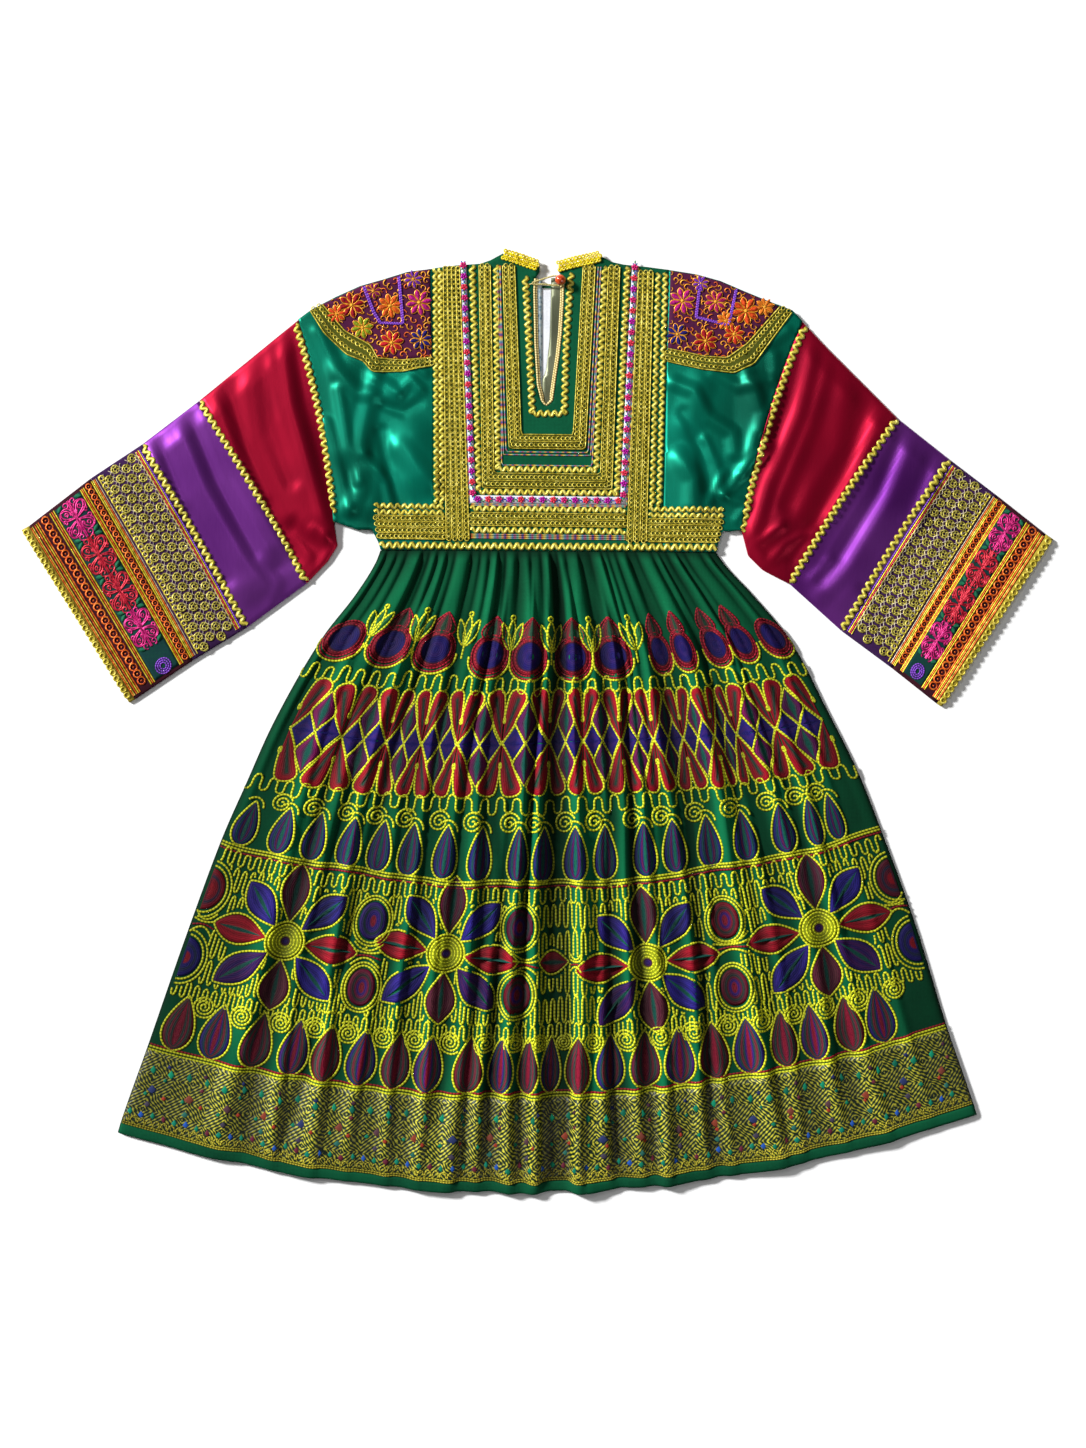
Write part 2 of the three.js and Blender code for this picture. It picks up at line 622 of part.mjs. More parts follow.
// Trims of the bodice: braids, rickrack, the flowered ribbon and the beaded collar ends
const addBodiceTrims = (grid) => {
  const onTop = cloth + seam;
  const put = (name, outline, colour, roughness) => {
    add(name, cutFrom(grid, outline, onTop, trim), colour, roughness);
  };
  const colourOf = (name) => {
    if (name === 'flower_ribbon') {
      return colours.ribbon;
    }
    return name.includes('braid') ? colours.gold : colours.rickrack;
  };
  for (const item of straightTrims) {
    put(item.name, leaningBand(item), colourOf(item.name), 0.5);
  }
  for (const item of frames) {
    put(item.name, frameOutline(item), colourOf(item.name), 0.5);
  }
  put('slit_rickrack', slitRickrack, colours.rickrack, 0.5);
  put('waist_rickrack', waistRickrack, colours.rickrack, 0.5);
  for (const side of ['left', 'right']) {
    const patch = patches[side];
    const upTo = patch.lower.slice(1, -1);
    put(`shoulder_patch_${side}`, [...patch.upper, ...upTo, patch.lower.at(-1)], colours.patch, 0.6);
    const lowered = patch.lower.map(([x, y]) => [x, y - seam]);
    put(`patch_braid_${side}`, [...patch.border, ...lowered.reverse()], colours.gold, 0.5);
    const outline = stripAlong(collar[side], collar.width);
    add(`collar_beads_${side}`, cutFrom(grid, outline, onTop, collar.thickness), 0xf2de12, 0.35);
  }
};

// Inside the neck opening: the pale lining of the back and the two facings under the slit's edges
const addOpening = (grid) => {
  const liningBottom = cloth + seam;
  const facingBottom = liningBottom + lining + seam;
  const liningOutline = [
    [-28, 372], [54, 372], [54, 530], [44, 538], [18, 522], [2, 522], [-20, 538], [-28, 530],
  ];
  add('back_lining', plate(liningOutline, liningBottom, lining), colours.white, 0.7);
  const leftFacing = [[-12, 384], [4, 384], [6, 412], [6, 532], [-12, 536]];
  add('slit_facing_left', plate(leftFacing, facingBottom, lining), 0xc4dfe8, 0.6);
  const rightFacing = [
    [8, 376], [38, 380], [40, 534], [16.8, 534], [16.8, 520], [15, 460], [11, 424], [6.6, 412], [5, 384],
  ];
  add('slit_facing_right', plate(rightFacing, facingBottom, lining), 0x8f9478, 0.35);
  const piping = pipingOutline(slitEdge, -2.6, 0.2);
  add('slit_piping', cutFrom(grid, piping, cloth + seam, trim), 0xc8b070, 0.5);
};

// Bead and the cord loop that holds it
const addButton = () => {
  const frontTop = frontBase + slitLift.height + cloth;
  const seat = frontTop + seam + trim + seam;
  const ball = new THREE.SphereGeometry(bead.radius, bead.sides, bead.rings);
  ball.rotateX(Math.PI / 2);
  ball.translate(bead.centre[0], bead.centre[1], seat + bead.radius);
  add('button_bead', ball, 0xd9481a, 0.25);
  const reach = bead.radius + seam + loop.cord;
  const under = seat + bead.radius - loop.foot;
  const round = Math.sqrt(reach * reach - under * under) + 0.1;
  const path = [[loop.start[0], loop.start[1] + 1.6], [8, 532.2], [19, 535.6]];
  for (const degrees of [105, 60, 20, -20, -60, -105]) {
    const angle = THREE.MathUtils.degToRad(degrees);
    path.push([bead.centre[0] + round * Math.cos(angle), bead.centre[1] + round * Math.sin(angle)]);
  }
  path.push([19, 524.4], [8, 525.8], [loop.start[0], loop.start[1] - 1.6]);
  const curve = new THREE.CatmullRomCurve3(path.map(([x, y]) => new THREE.Vector3(x, y, loop.foot)));
  const section = new THREE.Shape();
  section.absarc(0, 0, loop.cord, 0, 2 * Math.PI);
  const cord = new THREE.ExtrudeGeometry(section, {
    steps: loop.steps,
    extrudePath: curve,
    curveSegments: loop.sides / 2,
    bevelEnabled: false,
  });
  const knot = new THREE.SphereGeometry(loop.knot, 10, 6);
  knot.translate(loop.start[0] - 1, loop.start[1], loop.foot + 0.6);
  add('button_loop', toGeometry(toSolid(cord).add(toSolid(knot))), 0xb8a860, 0.6);
};

// Sleeves: rings of red and violet satin, lace and the embroidered cuff, with its scalloped edging
const addSleeve = (side) => {
  const finishes = {
    red: [colours.red, 0.3],
    violet: [colours.violet, 0.3],
    lace: [colours.lace, 0.6],
    cuff: [colours.cuff, 0.7],
    edging: [colours.gold, 0.6],
  };
  for (const [piece, [colour, roughness]] of Object.entries(finishes)) {
    add(`sleeve_${piece}_${side}`, ring(pieceSections(side, piece), side), colour, roughness);
  }
  const grid = sleeveTopGrid(side);
  const table = sleeveSections[side];
  const seams = [
    { name: 'armhole', from: 0.5, to: ribbonWidth + 0.5 },
    { name: 'violet', from: -ribbonWidth / 2, to: ribbonWidth / 2 },
    { name: 'lace', from: -ribbonWidth / 2, to: ribbonWidth / 2 },
  ];
  for (const item of seams) {
    const section = item.name === 'armhole' ? table[0] : table.find((row) => row.piece === item.name);
    const outline = ribbonOutline(section, side, item.from, item.to);
    add(`rickrack_${item.name}_${side}`, cutFrom(grid, outline, cloth + seam, trim), colours.rickrack, 0.5);
  }
};

addSkirt();
const bodicePoints = addBodice();
addBodiceTrims(bodicePoints);
addOpening(bodicePoints);
addButton();
addSleeve('left');
addSleeve('right');

export default dress;
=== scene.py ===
# %% [markdown]
# # An embroidered festive dress, laid flat
# This lesson dresses a measured frame in cloth, embroidery and braid. The frame gives plain solids in metres,
# and every cell adds one layer of the real garment, in the order in which it was sewn: panels, stitching,
# braid and rickrack, lace, and beads. Sizes are written in millimetres, as a dressmaker would.

# %% Load the frame
import math

import bpy
import numpy as np
from mathutils.geometry import delaunay_2d_cdt
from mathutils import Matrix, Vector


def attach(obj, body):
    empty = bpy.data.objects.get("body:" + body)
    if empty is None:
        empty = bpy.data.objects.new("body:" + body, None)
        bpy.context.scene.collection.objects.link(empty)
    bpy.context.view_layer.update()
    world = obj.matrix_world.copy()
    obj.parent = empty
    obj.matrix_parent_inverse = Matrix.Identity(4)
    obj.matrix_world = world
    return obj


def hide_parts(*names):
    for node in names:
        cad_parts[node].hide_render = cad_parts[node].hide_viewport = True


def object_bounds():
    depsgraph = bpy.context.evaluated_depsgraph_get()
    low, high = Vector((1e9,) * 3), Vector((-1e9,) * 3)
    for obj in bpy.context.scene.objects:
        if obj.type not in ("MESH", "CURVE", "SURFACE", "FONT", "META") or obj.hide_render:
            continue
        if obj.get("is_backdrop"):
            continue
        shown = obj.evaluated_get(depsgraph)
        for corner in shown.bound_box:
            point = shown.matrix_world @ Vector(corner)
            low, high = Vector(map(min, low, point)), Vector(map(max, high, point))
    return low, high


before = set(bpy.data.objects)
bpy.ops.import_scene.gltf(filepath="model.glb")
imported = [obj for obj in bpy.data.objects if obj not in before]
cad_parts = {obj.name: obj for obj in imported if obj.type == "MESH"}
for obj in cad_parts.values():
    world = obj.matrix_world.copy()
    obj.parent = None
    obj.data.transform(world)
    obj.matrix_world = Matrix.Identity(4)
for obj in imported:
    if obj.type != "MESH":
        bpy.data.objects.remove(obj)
cad_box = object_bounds()
print("frame nodes:", len(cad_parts))

# %% [markdown]
# ## Camera, floor and light
# The dress was photographed from straight above with a long lens, so the camera looks down from 3 m. A
# picture pixel is 1.2 mm on the cloth, and the long side of the picture holds 1448 of them, which gives the
# focal length. One lamp stands low and far off at the upper left: it models the folds and stays even over the
# whole table. A weaker one opens the shadows, a softbox above puts the sheen on satin, and a pale world
# lights the rest as white studio walls would.

# %% Camera and light
PIXEL = 1.2  # mm of cloth in a pixel of the photograph
PICTURE_HEIGHT = 1448
CAMERA_HEIGHT = 3.0
SENSOR = 36.0


def place_object(name, data):
    thing = bpy.data.objects.new(name, data)
    bpy.context.collection.objects.link(thing)
    return thing


camera_data = bpy.data.cameras.new("copy_stand_camera")
camera_data.sensor_fit = "VERTICAL"
camera_data.sensor_height = SENSOR
camera_data.lens = SENSOR * CAMERA_HEIGHT * 1000 / (PICTURE_HEIGHT * PIXEL)
camera = place_object("copy_stand_camera", camera_data)
camera.location = (0.0067, -0.0029, CAMERA_HEIGHT)
bpy.context.scene.camera = camera
bpy.context.scene.view_settings.view_transform = "Standard"

world = bpy.data.worlds.new("studio_walls")
world.use_nodes = True
walls = world.node_tree.nodes["Background"].inputs
walls["Color"].default_value = (1.0, 1.0, 1.0, 1.0)
walls["Strength"].default_value = 0.09
bpy.context.scene.world = world


def add_lamp(name, place, size, power):
    """A round soft lamp that looks at the middle of the dress."""
    data = bpy.data.lights.new(name, "AREA")
    data.shape, data.size, data.energy = "DISK", size, power
    lamp = place_object(name, data)
    lamp.location = place
    tilt = math.atan2(math.hypot(place[0], place[1]), place[2])
    lamp.rotation_euler = (tilt, 0, math.atan2(place[1], place[0]) + math.pi / 2)


add_lamp("key_lamp", (-11.7, 6.75, 7.7), 2.6, 4700)
add_lamp("fill_lamp", (3.2, -2.6, 3.4), 1.6, 38)
add_lamp("top_softbox", (-0.75, 1.15, 3.2), 0.8, 11)
print("lens:", round(camera_data.lens, 1), "mm")

# %% [markdown]
# ## Colour and node helpers
# Colours are picked as sRGB hex values, and Blender works in linear light, so one function turns them.
# Another adds a node with its settings, numbers and links in one call. Short helpers on top of it do one sum,
# read noise or a stored value, make rows of round ridges, and give a material its colour and relief.

# %% Colour and node helpers


def linear(code):
    parts = [int(code[k:k + 2], 16) / 255 for k in (1, 3, 5)]
    return [p / 12.92 if p <= 0.04045 else ((p + 0.055) / 1.055) ** 2.4 for p in parts] + [1.0]


def add_node(tree, kind, inputs=None, **settings):
    new = tree.nodes.new(kind)
    for key, value in settings.items():
        setattr(new, key, value)
    for key, value in (inputs or {}).items():
        if isinstance(value, bpy.types.NodeSocket):
            tree.links.new(value, new.inputs[key])
        else:
            new.inputs[key].default_value = value
    return new


def start_finish(name, **sockets):
    finish = bpy.data.materials.new(name)
    finish.use_nodes = True
    shader = finish.node_tree.nodes["Principled BSDF"]
    for label, value in sockets.items():
        shader.inputs[label.replace("_", " ")].default_value = value
    return finish, finish.node_tree, shader


def colours_along(tree, factor, stops):
    ramp = add_node(tree, "ShaderNodeValToRGB", {"Fac": factor})
    while len(ramp.color_ramp.elements) < len(stops):
        ramp.color_ramp.elements.new(0.5)
    for element, (position, code) in zip(ramp.color_ramp.elements, stops):
        element.position = position
        element.color = linear(code)
    return ramp.outputs["Color"]


def calc(tree, operation, *values):
    """One sum; values are numbers or sockets."""
    return add_node(tree, "ShaderNodeMath", dict(enumerate(values)), operation=operation).outputs[0]


def object_place(tree):
    return add_node(tree, "ShaderNodeTexCoord").outputs["Object"]


def noise(tree, place, scale, detail):
    made = add_node(tree, "ShaderNodeTexNoise", {"Vector": place, "Scale": scale, "Detail": detail})
    return made.outputs["Fac"]


def stored(tree, label, kind="Fac"):
    return add_node(tree, "ShaderNodeAttribute", attribute_name=label).outputs[kind]


def ridges(tree, value, spacing):
    """Round ridges side by side, one to each spacing."""
    return calc(tree, "ABSOLUTE", calc(tree, "SINE", calc(tree, "MULTIPLY", value, math.pi / spacing)))


def dress(tree, shader, colour, height=None, strength=0.0, distance=0.0):
    """Give a shader its colour, and its relief if there is a height; distance is in metres."""
    tree.links.new(colour, shader.inputs["Base Color"])
    if height is not None:
        bump = add_node(tree, "ShaderNodeBump",
                        {"Height": height, "Strength": strength, "Distance": distance})
        tree.links.new(bump.outputs[0], shader.inputs["Normal"])


print("green cotton in linear light:", [round(v, 3) for v in linear("#0B6B43")])

# %% [markdown]
# ## Where the cloth lies
# The skirt is known from eleven rows between the waist and the hem, each with its left and right end and the
# sag of its middle. A place on the skirt is a share of the width and a depth below the waist, so embroidery
# can be drawn on flat cloth and then laid over every fold. The rows are joined by smooth curves.

# %% Tables of the skirt
CLOTH = 1.5  # thickness of the dress's cloth
FRONT = 2.4  # height of the front's underside over the table
MIDDLE = np.array([0.5, 2.3, 0.0])  # where the frame's middle lies in the photograph's millimetres
# x and y of the left end, x and y of the right end, sag of the middle
SKIRT_ROWS = np.array([
    (-187.8, 207.6, 215.4, 204.6, 0), (-193, 194, 224.4, 191.4, 1), (-217, 155.4, 255.6, 157.8, 8.4),
    (-256.8, 103.8, 300, 105, 17.4), (-315.6, 1.8, 350.4, 11.4, 30), (-348.6, -71.4, 384, -55.8, 37.8),
    (-378.6, -139.8, 411.6, -124.8, 57.9), (-423.2, -261, 453, -238.2, 64.2),
    (-467.4, -388.2, 492, -364.8, 71.7), (-499.2, -478.2, 523.2, -455.4, 83.4),
    (-502.8, -490.2, 527.4, -468.6, 83.4),
])
ROW_DEPTH = 206.1 - ((SKIRT_ROWS[:, 1] + SKIRT_ROWS[:, 3]) / 2 - SKIRT_ROWS[:, 4])
HEM = ROW_DEPTH[-1]
BAND_TOP, BAND_BOTTOM = ROW_DEPTH[8], ROW_DEPTH[9]


def smooth_rows(depth):
    """The skirt's row at a depth, joined to its neighbours by smooth curves."""
    secant = np.diff(SKIRT_ROWS, axis=0) / np.diff(ROW_DEPTH)[:, None]
    slope = np.vstack([secant[:1], (secant[1:] + secant[:-1]) / 2, secant[-1:]])
    k = np.clip(np.searchsorted(ROW_DEPTH, depth, side="right") - 1, 0, len(ROW_DEPTH) - 2)
    span = (ROW_DEPTH[k + 1] - ROW_DEPTH[k])[..., None]
    t = ((depth - ROW_DEPTH[k])[..., None]) / span
    first = (2 * t ** 3 - 3 * t ** 2 + 1) * SKIRT_ROWS[k] + (t ** 3 - 2 * t ** 2 + t) * span * slope[k]
    second = (3 * t ** 2 - 2 * t ** 3) * SKIRT_ROWS[k + 1] + (t ** 3 - t ** 2) * span * slope[k + 1]
    return first + second


def skirt_width(depth):
    row = smooth_rows(np.asarray(depth, float))
    return row[..., 2] - row[..., 0]


print("depth of the rows:", [round(float(d)) for d in ROW_DEPTH])

# %% [markdown]
# ## Folds of the skirt
# Thirty-four gathers start at the waist seam as round ridges with sharp valleys between them, and each dies
# out at its own depth. Below them run broad folds and a few narrow creases, the deepest a little right of the
# middle from waist to hem. Every one has its own length, width and height, so no two look alike.

# %% Folds of the skirt
GATHERS = 34
# share at the waist and hem, height and half width in mm
BROAD_FOLDS = [
    (0.08, 0.10, 1.4, 62), (0.20, 0.21, 2.0, 52), (0.33, 0.365, 2.4, 46), (0.45, 0.47, 2.2, 34),
    (0.56, 0.548, 3.2, 30), (0.67, 0.645, 2.2, 42), (0.79, 0.765, 2.2, 54), (0.91, 0.89, 1.4, 60),
]
# share at the waist and hem, depth where it starts and ends, half width and height in mm
SOFT_FOLDS = [
    (0.075, 0.120, 60, 780, 26, 2.6), (0.130, 0.175, 170, 780, 20, 3.0), (0.170, 0.222, 40, 780, 18, 3.4),
    (0.235, 0.268, 240, 780, 20, 2.6), (0.270, 0.312, 60, 780, 17, 3.6), (0.330, 0.345, 330, 780, 16, 2.6),
    (0.375, 0.390, 30, 780, 18, 4.2), (0.420, 0.418, 260, 780, 14, 3.4), (0.448, 0.452, 20, 780, 15, 4.6),
    (0.480, 0.484, 30, 780, 13, 5.0), (0.545, 0.541, 20, 780, 16, 6.2), (0.590, 0.572, 60, 780, 15, 3.2),
    (0.625, 0.607, 30, 780, 16, 4.4), (0.660, 0.642, 190, 780, 15, 3.2), (0.700, 0.690, 40, 780, 17, 4.0),
    (0.745, 0.718, 330, 780, 15, 2.6), (0.775, 0.772, 60, 780, 19, 3.4), (0.830, 0.800, 280, 780, 17, 2.6),
    (0.862, 0.852, 40, 780, 22, 3.2), (0.915, 0.896, 120, 780, 20, 2.6), (0.955, 0.945, 60, 780, 18, 2.0),
]
# the same for narrow valleys, with their depth in mm
CREASES = [
    (0.509, 0.514, 2, 790, 13, 5.2), (0.352, 0.363, 60, 700, 8, 1.6), (0.462, 0.466, 90, 790, 8, 2.4),
    (0.640, 0.624, 60, 790, 8, 2.0), (0.240, 0.190, 70, 760, 9, 1.8), (0.725, 0.704, 120, 790, 8, 1.6),
    (0.815, 0.786, 60, 640, 9, 1.6), (0.402, 0.436, 300, 790, 8, 1.8), (0.575, 0.588, 200, 790, 7, 1.8),
    (0.110, 0.145, 260, 790, 9, 1.4), (0.892, 0.874, 180, 760, 9, 1.4),
]


def mix(a, b, share):
    return a + (b - a) * share


def crest(distance, half_width):
    """A rounded ridge: 1 on its line, and 0 from its half width outwards."""
    share = np.minimum(1, np.abs(distance) / half_width)
    return (1 + np.cos(np.pi * share)) / 2


def gather_height(share, down):
    """Gathers: a slow rise and a steep fall in each, which dies out at its own depth."""
    spread = share * GATHERS + 0.25 * np.sin(share * 37) + 0.13 * np.sin(share * 83 + 1)
    cell = np.floor(spread)
    offset = spread - cell
    height = 8.5 * (0.62 + 0.38 * np.sin(2.4 * cell + 1))
    reach = 210 + 110 * np.sin(1.7 * cell + 2)
    top = 0.6 + 0.1 * np.sin(3.1 * cell)
    ridge = np.sin(np.pi / 2 * np.where(offset < top, offset / top, (1 - offset) / (1 - top))) ** 0.85
    return height * ridge * np.minimum(1, (down + 3) / 14) * np.exp(-(down / reach) ** 2)


def fold_place(share, depth, width, fold, rise):
    """How far in mm a place is from a fold's line, and how much of the fold's height is reached there."""
    waist, hem, start, end = fold
    sway = 0.004 * np.sin(depth / 95 + 40 * waist)
    away = (share - mix(waist, hem, np.clip(depth / HEM, 0, 1)) - sway) * width
    return away, np.clip((depth - start) / rise, 0, 1) * np.clip((end - depth) / 60, 0, 1)


def fold_height(share, depth, width):
    part = np.clip(depth / HEM, 0, 1)
    total = 0
    for waist, hem, height, half in BROAD_FOLDS:
        away = (share - mix(waist, hem, part)) * width
        total = total + 2.2 * height * crest(away, mix(half * 0.4, half, part))
    total = total * np.minimum(1, depth / 60)
    for *fold, half, height in SOFT_FOLDS:
        away, inside = fold_place(share, depth, width, fold, 110)
        swell = 2.3 + 0.5 * np.sin(depth / 63 + 70 * fold[0])
        steeper_side = away * np.where(away > 0, 1.7, 0.85)
        total = total + height * swell * inside * crest(steeper_side, half * (0.55 + 0.45 * part))
    for *fold, half, height in CREASES:
        away, inside = fold_place(share, depth, width, fold, 60)
        total = total - 3.1 * height * inside * crest(away, half * (0.7 + 0.9 * part))
    return total


def small_ripples(x, y, height):
    first = np.sin(x / 13.1 + 2.2 * np.sin(y / 71)) * np.sin(y / 47 + 1.3 * np.sin(x / 53))
    second = np.sin(x / 7.7 + y / 19 + 1.7 * np.sin(y / 37)) * 0.45
    return height * (first + second)


def on_skirt(share, depth, lift=0.0):
    """The top of the skirt's cloth at a share of its width and a depth, raised by lift."""
    share, depth = np.broadcast_arrays(np.asarray(share, float), np.asarray(depth, float))
    row = smooth_rows(depth)
    width = row[..., 2] - row[..., 0]
    x = mix(row[..., 0], row[..., 2], share)
    y = mix(row[..., 1], row[..., 3], share) - row[..., 4] * 4 * share * (1 - share)
    folds = fold_height(share, depth, width)
    height = gather_height(share, 207.6 - row[..., 1]) + folds
    height = height + small_ripples(x, y, 0.16) * np.minimum(1, depth / 80)
    # the hem runs in and out with the folds, apart from its two ends
    hem_swing = np.clip(depth / HEM, 0, 1) ** 5 * np.clip(share * (1 - share) * 16, 0, 1)
    y = y + 0.5 * (3.0 - np.clip(folds, -2, 9)) * hem_swing
    edge = np.minimum(share, 1 - share) * width
    side = np.clip((edge + 2) / 12, 0, 1) ** 0.8
    roll = 1 - np.sqrt(np.clip(1 - (1 - np.clip(edge / 3.4, 0, 1)) ** 2, 0, 1))
    # high and low folds are bent over softly, so that none is cut off flat
    bent = 8 + 10 * np.tanh((height - 8.5) / 11)
    height = np.where(depth < 40, mix(0.8 * height, bent, depth / 40), bent)
    z = FRONT + CLOTH + side * np.maximum(height, -1.2) - 2.3 * roll
    return np.stack([x, y, z + lift], axis=-1)


sample = on_skirt(np.linspace(0, 1, 400)[None, :], np.linspace(0, HEM, 200)[:, None])
print("skirt surface from", round(sample[..., 2].min(), 1), "to", round(sample[..., 2].max(), 1), "mm high")
print("usual heights", np.round(np.percentile(sample[40:, 20:-20, 2], [5, 25, 50, 75, 95]), 1))

# %% [markdown]
# ## Folds of the bodice and sleeves
# Satin shows every soft crease as a bright line with a dark side, so the bodice and sleeves have tables of
# ridges and troughs: two ends, a half width and a height, with a minus where the cloth sinks. A sleeve is a
# flattened tube known from eight sections, and a place on it is a section number and a distance across.

# %% Folds of the bodice and sleeves
SLEEVES = {
    "left": np.array([
        (-286, 484, -244, 242, 8), (-312, 463, -239, 213, 7), (-345, 436, -251, 194, 5),
        (-405, 387, -276, 168, 3), (-473, 335, -348, 115, 2), (-535, 294, -412, 76, 1),
        (-609, 237, -482, 29, 0), (-618, 232, -489, 25, 0),
    ], float),
    "right": np.array([
        (318, 482, 245, 232, 8), (346, 452, 253, 201, 7), (378, 420, 270, 184, 5), (432, 366, 303, 167, 3),
        (494, 317, 365, 111, 2), (553, 272, 426, 66, 1), (610, 227, 479, 24, 0), (619, 221, 485, 20, 0),
    ], float),
}
# one row for each crease: points along it, half width, height
SATIN_FOLDS = [
    ([(-196, 418), (-208, 340), (-212, 282), (-222, 258)], 13, 3.2),
    ([(-190, 412), (-165, 398), (-150, 412), (-140, 400)], 9, 2.2),
    ([(-182, 380), (-160, 372), (-142, 384)], 8, -1.6),
    ([(-238, 400), (-226, 330), (-214, 290)], 9, 2.0),
    ([(-164, 330), (-140, 302), (-128, 288)], 16, 2.6), ([(-186, 350), (-176, 300), (-160, 262)], 10, -2.0),
    ([(-262, 470), (-240, 420), (-214, 396), (-170, 392)], 12, 2.4),
    ([(-252, 360), (-236, 300), (-226, 256)], 10, 2.4), ([(-224, 440), (-204, 430), (-186, 440)], 8, 1.4),
    ([(-154, 432), (-134, 420)], 8, 1.6), ([(-206, 322), (-180, 290), (-176, 262)], 8, 1.8),
    ([(164, 408), (188, 398), (206, 366), (234, 348), (236, 324)], 11, 3.0),
    ([(252, 420), (270, 372), (256, 326), (244, 300)], 11, 2.6),
    ([(176, 372), (196, 330), (204, 280)], 10, -1.8),
    ([(170, 320), (188, 292), (186, 262)], 14, 2.4), ([(224, 274), (252, 306), (276, 330)], 9, 2.2),
    ([(222, 276), (214, 312), (200, 340)], 8, 1.8), ([(224, 272), (252, 262), (240, 244)], 8, 1.8),
    ([(284, 440), (288, 390), (270, 350)], 10, 2.0), ([(212, 420), (240, 404), (280, 412)], 10, 1.8),
    ([(300, 470), (276, 452), (250, 446)], 8, 1.4), ([(206, 262), (216, 286), (224, 300)], 7, 1.6),
    ([(-304, 460), (-292, 380), (-264, 280), (-250, 226)], 12, 2.6),
    ([(-330, 440), (-316, 360), (-292, 290)], 12, -1.8), ([(-352, 420), (-336, 340), (-300, 250)], 14, 2.4),
    ([(-384, 396), (-358, 320), (-330, 270)], 12, 1.8), ([(-268, 232), (-239, 213), (-274, 170)], 8, 2.6),
    ([(-292, 236), (-262, 206), (-262, 182)], 8, -2.0), ([(-372, 392), (-340, 300), (-286, 196)], 9, -1.4),
    ([(334, 456), (312, 372), (276, 286), (258, 226)], 12, 2.6),
    ([(360, 430), (338, 350), (300, 262)], 12, -1.8),
    ([(380, 410), (360, 330), (316, 244)], 14, 2.4), ([(414, 376), (384, 300), (352, 250)], 12, 1.8),
    ([(292, 236), (262, 214), (272, 186)], 8, 2.2), ([(330, 230), (300, 216), (282, 196)], 8, 1.8),
    ([(402, 388), (364, 290), (306, 196)], 9, -1.4),
    ([(-424, 352), (-396, 282), (-350, 200), (-312, 150)], 13, 2.4),
    ([(-450, 336), (-420, 262), (-370, 172)], 12, -1.6), ([(-404, 372), (-372, 290), (-318, 196)], 10, 1.6),
    ([(-462, 330), (-430, 250), (-384, 176)], 10, 1.8), ([(-330, 196), (-308, 168), (-318, 140)], 8, 1.6),
    ([(446, 336), (420, 268), (374, 190), (334, 146)], 13, 2.4),
    ([(470, 318), (440, 246), (392, 166)], 12, -1.6), ([(430, 360), (398, 280), (346, 196)], 10, 1.6),
    ([(484, 312), (454, 238), (410, 168)], 10, 1.8), ([(352, 196), (328, 172), (340, 146)], 8, 1.6),
    ([(-150, 340), (-140, 300)], 30, 4.2), ([(-232, 420), (-224, 330)], 24, 3.2),
    ([(-196, 300), (-200, 262)], 20, 3.0),
    ([(180, 306), (192, 262)], 28, 4.2), ([(262, 400), (262, 330)], 24, 3.4),
    ([(196, 410), (180, 360)], 20, 2.6),
    ([(-330, 430), (-292, 330), (-270, 250)], 32, 4.6), ([(-392, 385), (-350, 290), (-318, 215)], 26, 3.4),
    ([(362, 424), (322, 330), (290, 240)], 32, 4.6), ([(420, 372), (380, 290), (330, 215)], 26, 3.4),
    ([(-440, 345), (-400, 260), (-350, 170)], 30, 4.2), ([(-470, 326), (-436, 262)], 22, 2.6),
    ([(462, 324), (420, 240), (372, 160)], 30, 4.2), ([(492, 308), (456, 250)], 22, 2.6),
    ([(-560, 268), (-520, 196), (-462, 110)], 22, 1.6), ([(578, 246), (536, 178), (476, 96)], 22, 1.6),
    ([(-506, 300), (-470, 236), (-420, 150)], 20, 1.2), ([(524, 284), (486, 218), (438, 140)], 20, 1.2),
]


def line_distance(x, y, points):
    """How far places are from a line through points."""
    best = np.full(np.shape(x), 1e9)
    for (ax, ay), (bx, by) in zip(points, points[1:]):
        dx, dy = bx - ax, by - ay
        held = np.clip(((x - ax) * dx + (y - ay) * dy) / (dx * dx + dy * dy), 0, 1)
        best = np.minimum(best, np.hypot(x - ax - held * dx, y - ay - held * dy))
    return best


def body_height(x, y):
    """The creases of bodice and sleeves, and the lift of the cloth round the opening."""
    out_x = np.maximum(0, np.maximum(-14 - x, x - 42))
    out_y = np.maximum(0, np.maximum(372 - y, y - 545))
    lift = 1.6 * crest(np.maximum(0, np.hypot(out_x, out_y) - 26), 34)
    total = lift
    for points, half, height in SATIN_FOLDS:
        total = total + 1.35 * height * crest(line_distance(x, y, points), half * 1.25)
    sides = np.clip((np.abs(x - 13) - 132) / 30, 0, 1)
    return np.maximum(total + 1.6 * sides, -0.6) + small_ripples(x, y, 0.14) * sides


def on_body(x, y, lift=0.0):
    """The top of the bodice's cloth at a place in plan, raised by lift."""
    x, y = np.broadcast_arrays(np.asarray(x, float), np.asarray(y, float))
    return np.stack([x, y, FRONT + CLOTH + body_height(x, y) + lift], axis=-1)


def sleeve_section(side, number):
    k = np.clip(np.floor(number).astype(int), 0, 6)
    t = (number - k)[..., None]
    return mix(SLEEVES[side][k], SLEEVES[side][k + 1], t)


